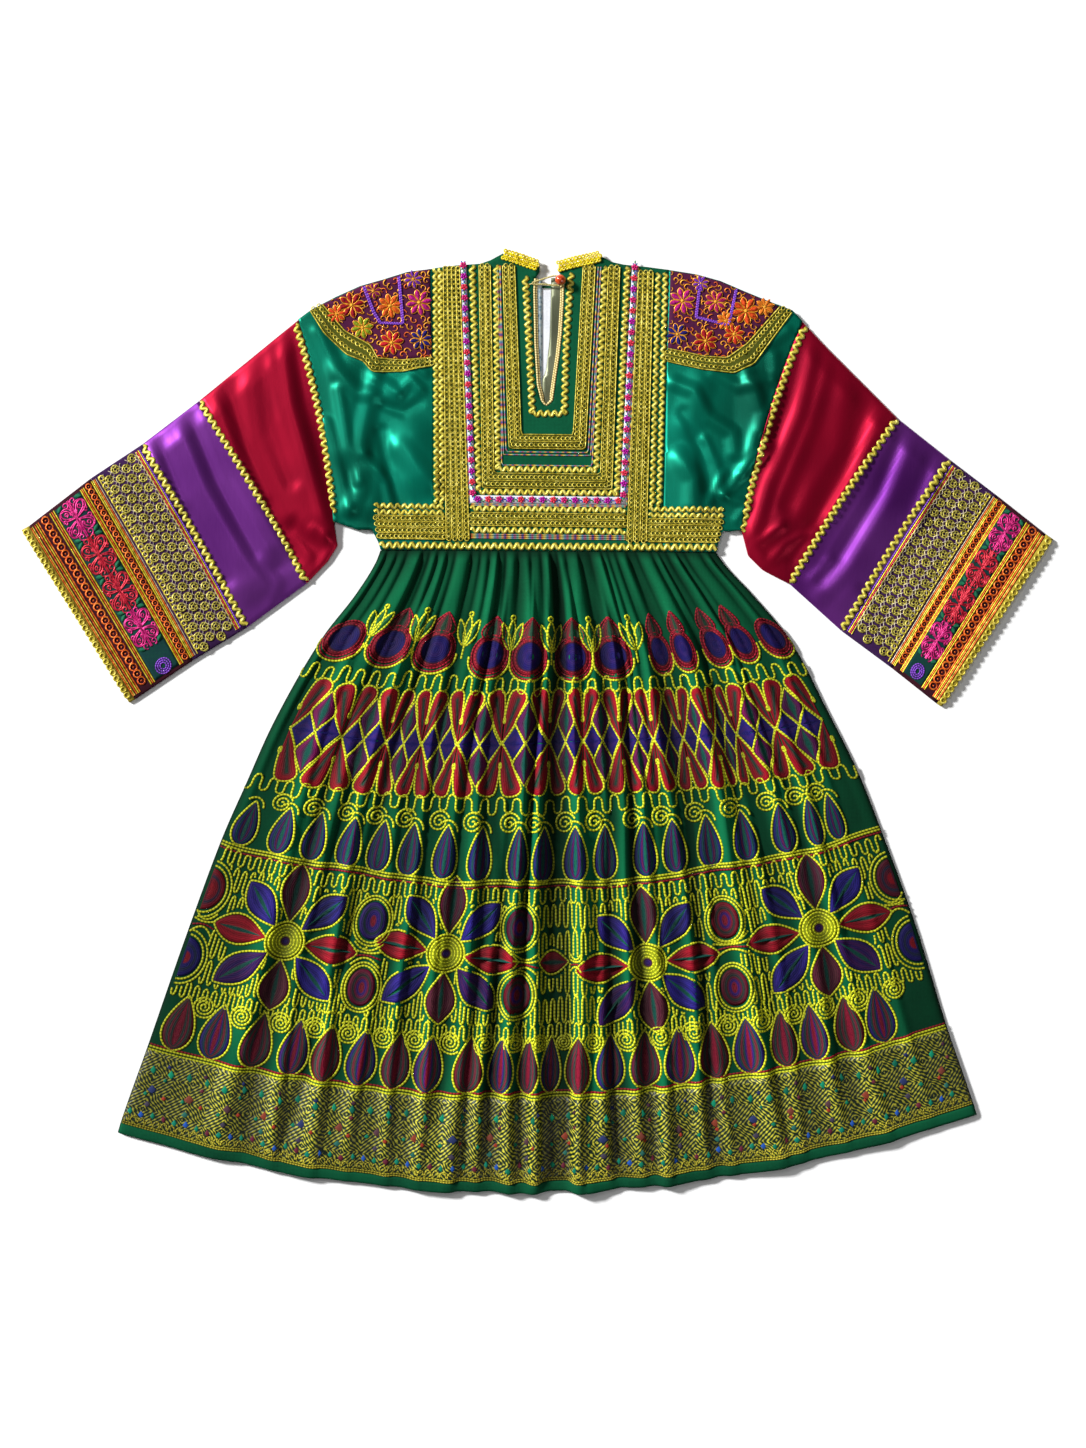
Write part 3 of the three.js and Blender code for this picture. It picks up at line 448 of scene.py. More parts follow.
def on_sleeve(side, number, across, lift=0.0):
    """The top of a sleeve's cloth at a section number and a share of the way down it, raised by lift."""
    number, across = np.broadcast_arrays(np.asarray(number, float), np.asarray(across, float))
    row = sleeve_section(side, number)
    dx, dy = row[..., 2] - row[..., 0], row[..., 3] - row[..., 1]
    width = np.hypot(dx, dy)
    bow = row[..., 4] * 4 * across * (1 - across) * (1 if side == "left" else -1)
    x = row[..., 0] + dx * across - bow * dy / width
    y = row[..., 1] + dy * across + bow * dx / width
    edge = np.clip(np.minimum(across, 1 - across) * width / 24, 0, 1)
    return np.stack([x, y, FRONT + CLOTH + edge * body_height(x, y) + lift], axis=-1)


print("creases of satin:", len(SATIN_FOLDS))

# %% [markdown]
# ## Pieces from points
# Cloth is a closed thin sheet: its top follows the surface, its underside lies one cloth lower, and a rim
# joins the two along every open edge. The helpers build such sheets from a grid or from an outline filled
# with triangles, check that faces point outwards by the sheet's volume, and hand each piece to the frame.
# A tailor also wants to know what to cut, so cut_as states the flat rectangle that each sheet comes from.

# %% Pieces from points
MADE, CUTS = {}, {}


def triangles_of(mesh):
    return sum(len(p.vertices) - 2 for p in mesh.polygons)


def take_piece(piece, nodes=()):
    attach(piece, "root")
    if nodes:
        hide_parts(*nodes)
    MADE[piece.name] = triangles_of(piece.data)
    return piece


def add_piece(name, points, faces, finish, slot, nodes=(), values=None, turn=True):
    points = (np.asarray(points, float).reshape(-1, 3) - MIDDLE) / 1000
    faces = np.asarray(faces)
    if turn:
        volume = 0
        for k in range(1, faces.shape[1] - 1):
            a, b, c = points[faces[:, 0]], points[faces[:, k]], points[faces[:, k + 1]]
            volume += np.einsum("ij,ij->i", a, np.cross(b, c)).sum()
        faces = faces if volume > 0 else faces[:, ::-1]
    mesh = bpy.data.meshes.new(name)
    mesh.from_pydata(points.tolist(), [], faces.tolist())
    mesh.polygons.foreach_set("use_smooth", [True] * len(mesh.polygons))
    for label, data in (values or {}).items():
        data = np.asarray(data, float)
        if data.ndim > 1:
            colour = mesh.color_attributes.new(label, "FLOAT_COLOR", "POINT")
            colour.data.foreach_set("color", data.reshape(-1))
        else:
            mesh.attributes.new(label, "FLOAT", "POINT").data.foreach_set("value", data)
    mesh.materials.append(finish)
    return take_piece(place_object(name, mesh), nodes)


def grid_faces(rows, columns):
    r, c = np.meshgrid(np.arange(rows - 1), np.arange(columns - 1), indexing="ij")
    a = (r * columns + c).reshape(-1)
    return np.stack([a, a + columns, a + columns + 1, a + 1], axis=1)


def thicken(top, faces, under):
    """A closed sheet from top points, their faces and the points under them."""
    count = len(top)
    edges = np.concatenate([np.stack([faces[:, k], np.roll(faces, -1, axis=1)[:, k]], axis=1)
                            for k in range(faces.shape[1])])
    ahead = edges[:, 0] * count + edges[:, 1]
    back = edges[:, 1] * count + edges[:, 0]
    rim = edges[~np.isin(ahead, back)]
    walls = np.stack([rim[:, 1], rim[:, 0], rim[:, 0] + count, rim[:, 1] + count], axis=1)
    if faces.shape[1] == 3:
        walls = np.concatenate([walls[:, [0, 1, 2]], walls[:, [0, 2, 3]]])
    both = np.concatenate([faces, faces[:, ::-1] + count, walls])
    return np.concatenate([top, under]), both


def sheet_from_grid(name, top, thickness, finish, slot, nodes=(), **more):
    rows, columns = top.shape[:2]
    flat = top.reshape(-1, 3)
    points, faces = thicken(flat, grid_faces(rows, columns), flat - [0, 0, thickness])
    return add_piece(name, points, faces, finish, slot, nodes, **more)


def inside_outline(x, y, outline):
    inside = np.zeros(x.shape, bool)
    for (ax, ay), (bx, by) in zip(outline, np.roll(outline, -1, axis=0)):
        crosses = (ay > y) != (by > y)
        with np.errstate(divide="ignore", invalid="ignore"):
            inside ^= crosses & (x < ax + (y - ay) * (bx - ax) / (by - ay))
    return inside


def fill_outline(outline, step):
    """Plan points and triangles that fill an outline evenly."""
    outline = np.asarray(outline, float)
    border = []
    for a, b in zip(outline, np.roll(outline, -1, axis=0)):
        pieces = max(1, round(float(np.hypot(*(b - a))) / step))
        border += [tuple(mix(a, b, k / pieces)) for k in range(pieces)]
    low, high = outline.min(axis=0), outline.max(axis=0)
    x, y = np.meshgrid(np.arange(low[0] + step / 3, high[0], step),
                       np.arange(low[1] + step / 3, high[1], step))
    x, y = x.reshape(-1), y.reshape(-1)
    keep = inside_outline(x, y, outline)
    keep &= line_distance(x, y, [tuple(p) for p in outline] + [tuple(outline[0])]) > step * 0.45
    points = border + list(zip(x[keep].tolist(), y[keep].tolist()))
    result = delaunay_2d_cdt([tuple(map(float, p)) for p in points], [], [list(range(len(border)))], 1, 1e-5)
    return np.array([tuple(p) for p in result[0]]), np.array([f for f in result[2] if len(f) == 3])


def sheet_from_outline(name, outline, step, lift, thickness, finish, slot, nodes=(), height=None):
    plan, faces = fill_outline(outline, step)
    if height is None:
        top = on_body(plan[:, 0], plan[:, 1], lift)
    else:
        top = np.column_stack([plan, height(plan[:, 0], plan[:, 1])])
    points, faces = thicken(top, faces, top - [0, 0, thickness])
    return add_piece(name, points, faces, finish, slot, nodes)


def cut_as(piece, width, length):
    """State the flat rectangle in mm that a sheet was cut from, and how much of it is cloth."""
    cloth, whole = sum(face.area for face in piece.data.polygons) / 2, width * length / 1e6
    CUTS[piece.name] = (round(cloth, 4), round(whole, 4))
    return piece


print("helpers for sheets are ready")

# %% [markdown]
# ## Cotton and satin
# The skirt is plain woven cotton, beaten tight: it is matt, with a fine cross of threads and slow changes of
# dye. Satin floats its threads over many others, so it mirrors light along soft creases, and its highlight
# takes the colour of the thread. A little metal in the shader gives that tinted shine. Real threads are
# 0.3 mm apart; they are drawn 1.6 mm apart here, because anything finer is lost in the picture. The valleys
# of the real skirt are deeper than this flat part allows, so its cotton gets painted shade where it lies low.

# %% Cotton and satin
WEAVE_SCALE = 0.314  # a wave texture of scale 0.314 repeats once a metre


def painted_fold_shade(tree, colour, low=0.004, high=0.0135, least=0.1):
    """Painted shade: darken a colour where the cloth lies low, as the real folds are deeper than a flat part
    can be.
    """
    height = add_node(tree, "ShaderNodeSeparateXYZ", {"Vector": object_place(tree)}).outputs["Z"]
    light = add_node(tree, "ShaderNodeMapRange", {"Value": height, "From Min": low, "From Max": high,
                                                  "To Min": least, "To Max": 1.0}).outputs[0]
    return add_node(tree, "ShaderNodeVectorMath", {0: colour, "Scale": light}, operation="SCALE").outputs[0]


def woven_cotton(name, main, shade, thread=0.0016, folds=False):
    """Plain weave: matt, with a cross of warp and weft and dye that has taken unevenly."""
    finish, tree, shader = start_finish(name, Roughness=0.85, Specular_IOR_Level=0.08)
    place = object_place(tree)
    dye = calc(tree, "MULTIPLY_ADD", noise(tree, place, 420.0, 2.0), 0.35, noise(tree, place, 14.0, 4.0))
    colour = colours_along(tree, dye, [(0.3, shade), (0.75, main)])
    warp, weft = (add_node(tree, "ShaderNodeTexWave",
                           {"Vector": place, "Scale": WEAVE_SCALE / thread, "Distortion": 0.6},
                           bands_direction=way).outputs["Fac"] for way in "XY")
    # with folds, painted shade where the cloth lies low
    colour = painted_fold_shade(tree, colour) if folds else colour
    dress(tree, shader, colour, calc(tree, "ADD", warp, weft), 0.18, 0.0004)
    return finish


def woven_satin(name, shade, main, light, metal=0.62):
    """Long floats of thread: a tinted shine that runs along the creases."""
    finish, tree, shader = start_finish(name, Roughness=0.4, Metallic=metal, Specular_IOR_Level=0.15)
    place = object_place(tree)
    grain = add_node(tree, "ShaderNodeMapping", {"Vector": place, "Scale": (900.0, 60.0, 60.0)}).outputs[0]
    floats = noise(tree, grain, 1.0, 2.0)
    blend = calc(tree, "MULTIPLY_ADD", floats, 0.12, noise(tree, place, 9.0, 1.0))
    colour = colours_along(tree, blend, [(0.35, shade), (0.55, main), (0.75, light)])
    dress(tree, shader, colour, floats, 0.05, 0.0003)
    return finish


# the bodice's centre lies smooth and looks lighter than the gathered skirt, whose valleys take the light
# away; the skirt's copy of the cotton gets painted shade where it lies low
green_cotton = woven_cotton("plain_woven_green_cotton", "#075235", "#053C25")
fold_shaded_cotton = woven_cotton("green_cotton_with_painted_fold_shade", "#09653F", "#064E31", folds=True)
binding_cotton = woven_cotton("folded_cotton_binding", "#064A2E", "#03301E")
# three dyes of the same satin; the red is the deepest, so its highlights stand out most
teal_satin = woven_satin("woven_teal_satin", "#01513F", "#026C55", "#048068")
red_satin = woven_satin("woven_red_satin", "#780220", "#900626", "#A00A2C")
violet_satin = woven_satin("woven_violet_satin", "#541A6A", "#66287C", "#74348A")
print("cloths:", green_cotton.name, teal_satin.name, red_satin.name, violet_satin.name)

# %% [markdown]
# ## The skirt's cloth
# The front is one wide panel of cotton gathered into the waist. A grid of places is laid over the folds, two
# columns to every few millimetres, and thickened. The back lies flat on the table under it, a little
# smaller, with shallow creases of its own.

# %% The skirt's cloth
columns = np.linspace(0, 1, 301)
depths = np.concatenate([np.linspace(0, 150, 44), np.linspace(157, HEM, 66)])
front_top = on_skirt(columns[None, :], depths[:, None])
skirt_front = sheet_from_grid("gathered_skirt_front", front_top, CLOTH, fold_shaded_cotton, "cotton_green",
                              ["skirt_front"])
cut_as(skirt_front, 1220, 785)


def flat_back(name, outline, finish, slot, node, step=9.0):
    plan, faces = fill_outline(outline, step)
    lowest = small_ripples(plan[:, 0] * 0.35, plan[:, 1] * 0.35, 0.35)
    under = np.column_stack([plan, np.maximum(0, lowest)])
    points, faces = thicken(under + [0, 0, CLOTH], faces, under)
    return add_piece(name, points, faces, finish, slot, [node])


row = smooth_rows(np.linspace(0, HEM - 4, 40))
ends = np.linspace(0.02, 0.98, 40)
hem_line = on_skirt(ends, np.full(40, HEM - 4))[:, :2]
back_outline = [(r[0] + 1.5, r[1]) for r in row] + [tuple(p) for p in hem_line]
back_outline += [(r[2] - 1.5, r[3]) for r in row[::-1]]
skirt_back = flat_back("flat_skirt_back", back_outline, green_cotton, "cotton_green", "skirt_back", 16.0)
cut_as(skirt_back, 1030, 780)
print("skirt:", MADE)

# %% [markdown]
# ## The bodice's cloth
# The bodice has a green centre with the slit, a teal satin panel at each side and a plain back with a neck
# scoop. Their outlines are the cutting lines of the measured pattern. Each is filled with even triangles,
# finer in the satin, because a highlight follows every change of slope.

# %% Outlines of the bodice
SHOULDER = {
    "left": [(-270, 496), (-241, 511), (-212, 524), (-184, 532), (-155, 541)],
    "right": [(306, 495), (277, 506), (248, 518), (220, 530), (191, 538)],
}
NECK_LEFT = [(-124, 545.5), (-97, 549), (-68, 551), (-56, 555), (-41, 563), (3, 547), (3, 541)]
NECK_RIGHT = [(26, 541), (26, 548), (76, 560), (90, 553), (104, 550), (133, 547), (158, 543.6)]
SLIT = [(-2, 533), (-3, 520), (-1.7, 454), (1.2, 406), (6, 387), (10.8, 381),
        (18, 387), (21.6, 413), (25.8, 440), (28.8, 467), (31.2, 507), (31.5, 533)]
NECK_SCOOP = [(-41, 560), (-22, 541), (2, 525), (18, 525), (46, 541), (74, 557)]
UNDERARM = {
    "left": [(-214, 232), (-198, 232.5), (-190, 217), (-187.4, 208.2)],
    "right": [(229, 230), (223, 231), (217, 216), (215, 205.2)],
}


def armhole(side, count=17):
    return [tuple(p[:2]) for p in on_sleeve(side, np.zeros(count), np.linspace(0, 1, count))]


left_arm, right_arm = armhole("left"), armhole("right")
outline = left_arm + UNDERARM["left"] + UNDERARM["right"][::-1] + right_arm[::-1] + SHOULDER["right"]
outline += NECK_RIGHT[::-1][:5] + NECK_SCOOP[::-1] + NECK_LEFT[::-1][2:] + SHOULDER["left"][::-1]
bodice_back = flat_back("flat_bodice_back", outline, green_cotton, "cotton_green", "bodice_back", 12.0)
cut_as(bodice_back, 620, 360)
centre = NECK_LEFT + SLIT + NECK_RIGHT + [(150.5, 205.7), (-124, 207.6)]
bodice_front = sheet_from_outline("bodice_centre", centre, 5.0, 0, CLOTH, green_cotton, "cotton_green",
                                  ["bodice_front"])
panels = {}
for side, arm, seam in (("left", left_arm, [(-124, 207.6), (-124, 545)]),
                        ("right", right_arm, [(150.5, 205.7), (158, 543.4)])):
    panel = arm + UNDERARM[side] + seam + SHOULDER[side][::-1]
    panels[side] = sheet_from_outline(f"satin_side_{side}", panel, 3.0, 0, CLOTH, teal_satin, "satin_teal",
                                      [f"side_panel_{side}"])
cut_as(bodice_front, 285, 360)
for side, panel in panels.items():
    cut_as(panel, 200, 345)
print("bodice:", {key: MADE[key] for key in ("bodice_centre", "satin_side_left", "satin_side_right")})

# %% [markdown]
# ## The sleeves' cloth
# A sleeve is a tube pressed flat. Each stripe of satin or lace is a ring: over the top, round the folded
# side, back along the table and round again, with an inner wall one cloth inside, closed at both ends. The
# ring's sections follow the sleeve from seam to seam.

# %% The sleeves' cloth
EDGE = (FRONT + CLOTH) / 2


def row_width(row):
    return math.hypot(row[2] - row[0], row[3] - row[1])


def ring_loops(side, number, across_count):
    """The outer and inner wall of a sleeve at one section: over the top, round, back and round again."""
    width = row_width(sleeve_section(side, np.array([number]))[0])
    across = np.linspace(EDGE, width - EDGE, across_count) / width
    top = on_sleeve(side, np.full(across_count, number), across)
    loops = []
    for wall in (0, CLOTH):
        radius = EDGE - wall
        loop = [tuple(p - [0, 0, wall]) for p in top]
        for shift, away, plan in ((width - EDGE, 1, top[::-1]), (EDGE, -1, ())):
            for degrees in (60, 30, 0, -30, -60):
                bend = math.radians(degrees * away)
                share = (shift + away * radius * math.cos(bend)) / width
                p = on_sleeve(side, np.array([number]), np.array([share]))[0]
                loop.append((p[0], p[1], EDGE + radius * math.sin(bend)))
            loop += [(p[0], p[1], wall) for p in plan]
        loops.append(np.array(loop))
    return loops


def sleeve_ring(name, side, first, last, steps, across_count, finish, slot, node):
    sections = [ring_loops(side, float(n), across_count) for n in np.linspace(first, last, steps)]
    outer, inner = (np.array([s[wall] for s in sections]) for wall in (0, 1))
    rows, count = outer.shape[:2]
    around = np.arange(count)
    after = (around + 1) % count
    start, end = rows * count, (rows - 1) * count
    faces = []
    for a in range(0, end, count):
        b = a + count
        faces.append(np.stack([a + around, b + around, b + after, a + after], axis=1))
        faces.append(np.stack([a + after, b + after, b + around, a + around], axis=1) + start)
    faces.append(np.stack([after, after + start, around + start, around], axis=1))
    faces.append(np.stack([around, around + start, after + start, after], axis=1) + end)
    points = np.concatenate([outer.reshape(-1, 3), inner.reshape(-1, 3)])
    return add_piece(name, points, np.concatenate(faces), finish, slot, [node])


def sleeve_stripe(side, kind, start, end, steps, across_count, finish, slot):
    """A stripe of a sleeve between two sections; it is cut as wide as the sleeve is round."""
    piece = sleeve_ring(f"{kind}_sleeve_{side}", side, start, end, steps, across_count, finish, slot,
                        f"sleeve_{kind}_{side}")
    a, b = (sleeve_section(side, np.array([float(round(n))]))[0] for n in (start, end))
    run = math.hypot(b[0] + b[2] - a[0] - a[2], b[1] + b[3] - a[1] - a[3]) / 2
    return cut_as(piece, 2 * max(row_width(a), row_width(b)) + 4, max(run * 1.12, 10.5))


for side in SLEEVES:
    sleeve_stripe(side, "red", 0.004, 2.997, 32, 54, red_satin, "satin_red")
    sleeve_stripe(side, "violet", 3.003, 3.997, 20, 54, violet_satin, "satin_violet")
print("sleeves:", {key: MADE[key] for key in ("red_sleeve_left", "violet_sleeve_left")})

# %% [markdown]
# ## Threads laid along lines
# Chain stitch, cords and rickrack all follow a path, so one Geometry Nodes tree makes them: it turns drawn
# lines into curves, keeps their upright direction, sweeps a small oval along them and closes the ends. It
# also stores how far along and across the thread each point is, which the stitch materials read.

# %% A node tree for threads


def add_inputs(tree, sockets):
    for label, kind in sockets:
        tree.interface.new_socket(label, in_out="INPUT", socket_type=kind)
    tree.interface.new_socket("Result", in_out="OUTPUT", socket_type="NodeSocketGeometry")
    return add_node(tree, "NodeGroupInput").outputs


def thread_tree():
    tree = bpy.data.node_groups.new("thread_along_a_line", "GeometryNodeTree")
    given = add_inputs(tree, [("Lines", "NodeSocketGeometry"), ("Half Width", "NodeSocketFloat"),
                              ("Half Height", "NodeSocketFloat"), ("Sides", "NodeSocketInt"),
                              ("Finish", "NodeSocketMaterial")])
    curve = add_node(tree, "GeometryNodeMeshToCurve", {"Mesh": given["Lines"]})
    upright = add_node(tree, "GeometryNodeSetCurveNormal", {"Curve": curve.outputs[0]}, mode="Z_UP")
    length = add_node(tree, "GeometryNodeSplineParameter").outputs["Length"]
    measured = add_node(tree, "GeometryNodeStoreNamedAttribute",
                        {"Geometry": upright.outputs[0], "Name": "along", "Value": length},
                        data_type="FLOAT", domain="POINT")
    circle = add_node(tree, "GeometryNodeCurvePrimitiveCircle", {"Resolution": given["Sides"], "Radius": 1.0})
    place = add_node(tree, "ShaderNodeSeparateXYZ",
                     {"Vector": add_node(tree, "GeometryNodeInputPosition").outputs[0]})
    marked = add_node(tree, "GeometryNodeStoreNamedAttribute",
                      {"Geometry": circle.outputs["Curve"], "Name": "across", "Value": place.outputs["X"]},
                      data_type="FLOAT", domain="POINT")
    size = add_node(tree, "ShaderNodeCombineXYZ",
                    {"X": given["Half Width"], "Y": given["Half Height"], "Z": 1.0})
    oval = add_node(tree, "GeometryNodeTransform", {"Geometry": marked.outputs[0], "Scale": size.outputs[0]})
    swept = add_node(tree, "GeometryNodeCurveToMesh",
                     {"Curve": measured.outputs[0], "Profile Curve": oval.outputs[0], "Fill Caps": True})
    smooth = add_node(tree, "GeometryNodeSetShadeSmooth", {"Geometry": swept.outputs[0]})
    real = add_node(tree, "GeometryNodeRealizeInstances", {"Geometry": smooth.outputs[0]})
    coloured = add_node(tree, "GeometryNodeSetMaterial",
                        {"Geometry": real.outputs[0], "Material": given["Finish"]})
    add_node(tree, "NodeGroupOutput", {"Result": coloured.outputs[0]})
    return tree


THREAD = thread_tree()


def grown(name, mesh, tree, settings, nodes=()):
    """The mesh that a node tree makes from another one, as a plain piece."""
    source = place_object(name + "_source", mesh)
    modifier = source.modifiers.new("grow", "NODES")
    modifier.node_group = tree
    for item in tree.interface.items_tree:
        if item.in_out == "INPUT" and item.name in settings:
            modifier[item.identifier] = settings[item.name]
    bpy.context.view_layer.update()
    made = bpy.data.meshes.new_from_object(source.evaluated_get(bpy.context.evaluated_depsgraph_get()))
    source.modifiers.clear()
    bpy.data.objects.remove(source)
    made.name = name
    made.materials.clear()
    made.materials.append(settings["Finish"])
    made.polygons.foreach_set("material_index", [0] * len(made.polygons))
    made.polygons.foreach_set("use_smooth", [True] * len(made.polygons))
    return take_piece(place_object(name, made), nodes)


def lay_threads(name, lines, width, height, finish, nodes=(), sides=4):
    """lines are arrays of points in mm; one that ends where it starts is closed."""
    points, edges, start = [], [], 0
    for line in lines:
        line = np.asarray(line, float)
        closed = len(line) > 3 and np.hypot(*(line[0] - line[-1])[:2]) < 0.01
        if closed:
            line = line[:-1]
        points.append(line)
        ahead = np.arange(start, start + len(line))
        edges.append(np.stack([ahead, np.roll(ahead, -1)], axis=1)[:len(line) if closed else -1])
        start += len(line)
    points = (np.concatenate(points) - MIDDLE) / 1000
    mesh = bpy.data.meshes.new(name + "_lines")
    mesh.from_pydata(points.tolist(), np.concatenate(edges).tolist(), [])
    settings = {"Half Width": width / 2000, "Half Height": height / 2000, "Sides": sides, "Finish": finish}
    return grown(name, mesh, THREAD, settings, nodes)


print("thread tree has", len(THREAD.nodes), "nodes")

# %% [markdown]
# ## Chain stitch and filled shapes
# The skirt is worked in chain stitch: a row of small loops, each caught by the next, so a row has a beaded
# edge and a darker middle, partly the ground showing and partly painted shade. Shapes are filled with rows of
# the same stitch that follow their outline inwards, in bands of colour. The stitch material draws the loops
# from the stored length and width; the filling material reads each shape's own colours and its distance from
# the outline, and paints shade between the rows. A loop is 4 mm long.

# %% Stitch materials


def chain_stitch(name, dark, main, light, loop=0.0042, folds=False):
    """A row of loops, a raised link every 4 mm, coloured by its relief: painted shade in each link's middle
    and where links meet, where the ground also shows, and painted highlight on top; noise adds wear and
    uneven dye.
    """
    finish, tree, shader = start_finish(name, Roughness=0.65, Specular_IOR_Level=0.15)
    link = ridges(tree, stored(tree, "along"), loop)
    hole = calc(tree, "MULTIPLY_ADD", calc(tree, "ABSOLUTE", stored(tree, "across")), -2.2, 1.0)
    dip = calc(tree, "MULTIPLY", calc(tree, "MAXIMUM", hole, 0.0), link)
    shape = calc(tree, "MULTIPLY_ADD", dip, -0.55, link)
    wear_and_painted_relief_shade = calc(tree, "MULTIPLY_ADD", noise(tree, object_place(tree), 60.0, 3.0), 0.5, shape)
    # the colour follows the relief: painted shade low in the links, painted highlight on their tops
    colour = colours_along(tree, wear_and_painted_relief_shade, [(0.24, dark), (0.62, main), (1.0, light)])
    # with folds, painted shade where the thread lies low in a fold
    colour = painted_fold_shade(tree, colour, high=0.0115, least=0.2) if folds else colour
    dress(tree, shader, colour, shape, 0.5, 0.0006)
    return finish


def filling_stitch(name, spacing=0.0023, folds=False):
    """Rows of stitches that follow the outline inwards, in the colour kept on the mesh, with painted shade
    between the rows.
    """
    finish, tree, shader = start_finish(name, Roughness=0.7, Specular_IOR_Level=0.12)
    place = object_place(tree)
    wander = calc(tree, "MULTIPLY_ADD", noise(tree, place, 180.0, 2.0), 0.0022, stored(tree, "inwards"))
    # painted shade in the grooves between the rows of stitches, and random changes of tone
    lightness = calc(tree, "ADD", ridges(tree, wander, spacing), noise(tree, place, 420.0, 1.0))
    grey = colours_along(tree, lightness, [(0.35, "#707070"), (0.95, "#FFFFFF")])
    shaded = add_node(tree, "ShaderNodeMix", {0: 1.0, 6: stored(tree, "thread", "Color"), 7: grey},
                      data_type="RGBA", blend_type="MULTIPLY").outputs[2]
    # with folds, painted shade where the filling lies low in a fold
    dress(tree, shader, painted_fold_shade(tree, shaded, least=0.15) if folds else shaded, lightness, 0.4, 0.0005)
    return finish


# yellow and red cotton thread: matt, beaded along the edge, with painted shade where it dips into a fold; the
# skirt's fillings get the same painted shade
yellow_stitch = chain_stitch("yellow_chain_stitch", "#5E6808", "#BEC416", "#E2E432", folds=True)
red_stitch = chain_stitch("red_chain_stitch", "#3A060C", "#820E20", "#A41C30", folds=True)
filled_stitch = filling_stitch("filling_in_rows_of_chain_stitch", folds=True)
trim_filling = filling_stitch("fine_filling_stitch")
print("stitches:", yellow_stitch.name, red_stitch.name, filled_stitch.name)

# %% [markdown]
# ## Drawing embroidery on flat cloth
# Each motif is drawn in millimetres on flat cloth round a centre, with the second number pointing down to the
# hem, and kept as shares and depths until all of them are laid over the folds in one go. Filled shapes are
# kept as rings from the outline to a spine, each ring with its own colour.

# %% Drawing helpers
SKIRT_LINES = {"yellow": [], "red": []}
SKIRT_FILLS = []


def around(share, depth):
    """A place in mm round a centre, as a share of the skirt's width and a depth."""
    width = float(skirt_width(depth))
    return lambda shape: np.column_stack([share + shape[:, 0] / width, depth + shape[:, 1]])


def draw(colour, spot, shape):
    SKIRT_LINES[colour].append(spot(np.asarray(shape, float)))


def closed(shape):
    return np.vstack([shape, shape[:1]])


def oval(across, down, count=26, turn=0.0):
    angle = np.linspace(0, 2 * np.pi, count, endpoint=False) + turn
    return np.column_stack([across * np.cos(angle), down * np.sin(angle)])


def leaf(start, end, half, count=11, fat=0.5, pointed=0.75):
    """A leaf between two points and its spine; with pointed None it is a straight-sided lozenge."""
    start, end = np.asarray(start, float), np.asarray(end, float)
    axis = end - start
    normal = np.array([-axis[1], axis[0]]) / np.hypot(*axis)
    t = (1 - np.cos(np.linspace(0, np.pi, count))) / 2
    if pointed is None:
        t = np.linspace(0, 1, count)
        body = np.minimum(t / fat, (1 - t) / (1 - fat)) * half
    else:
        body = np.sin(np.pi * t ** (math.log(0.5) / math.log(fat))) ** pointed * half
    spine = start + t[:, None] * axis
    outline = np.vstack([spine + body[:, None] * normal, (spine - body[:, None] * normal)[-2:0:-1]])
    line = np.vstack([spine, spine[-2:0:-1]])
    return outline, mix(line, (start + end) / 2, 0.22)


def fill_shape(store, spot, outline, spine, bands):
    """bands are (share of the way in, colour); the outline sinks into the cloth and the rest stands up."""
    store.append((spot, np.asarray(outline, float), np.asarray(spine, float), bands))


def halved(loop):
    """The same closed line with a point added in the middle of every step."""
    return np.stack([loop, (loop + np.roll(loop, -1, axis=0)) / 2], axis=1).reshape(-1, 2)


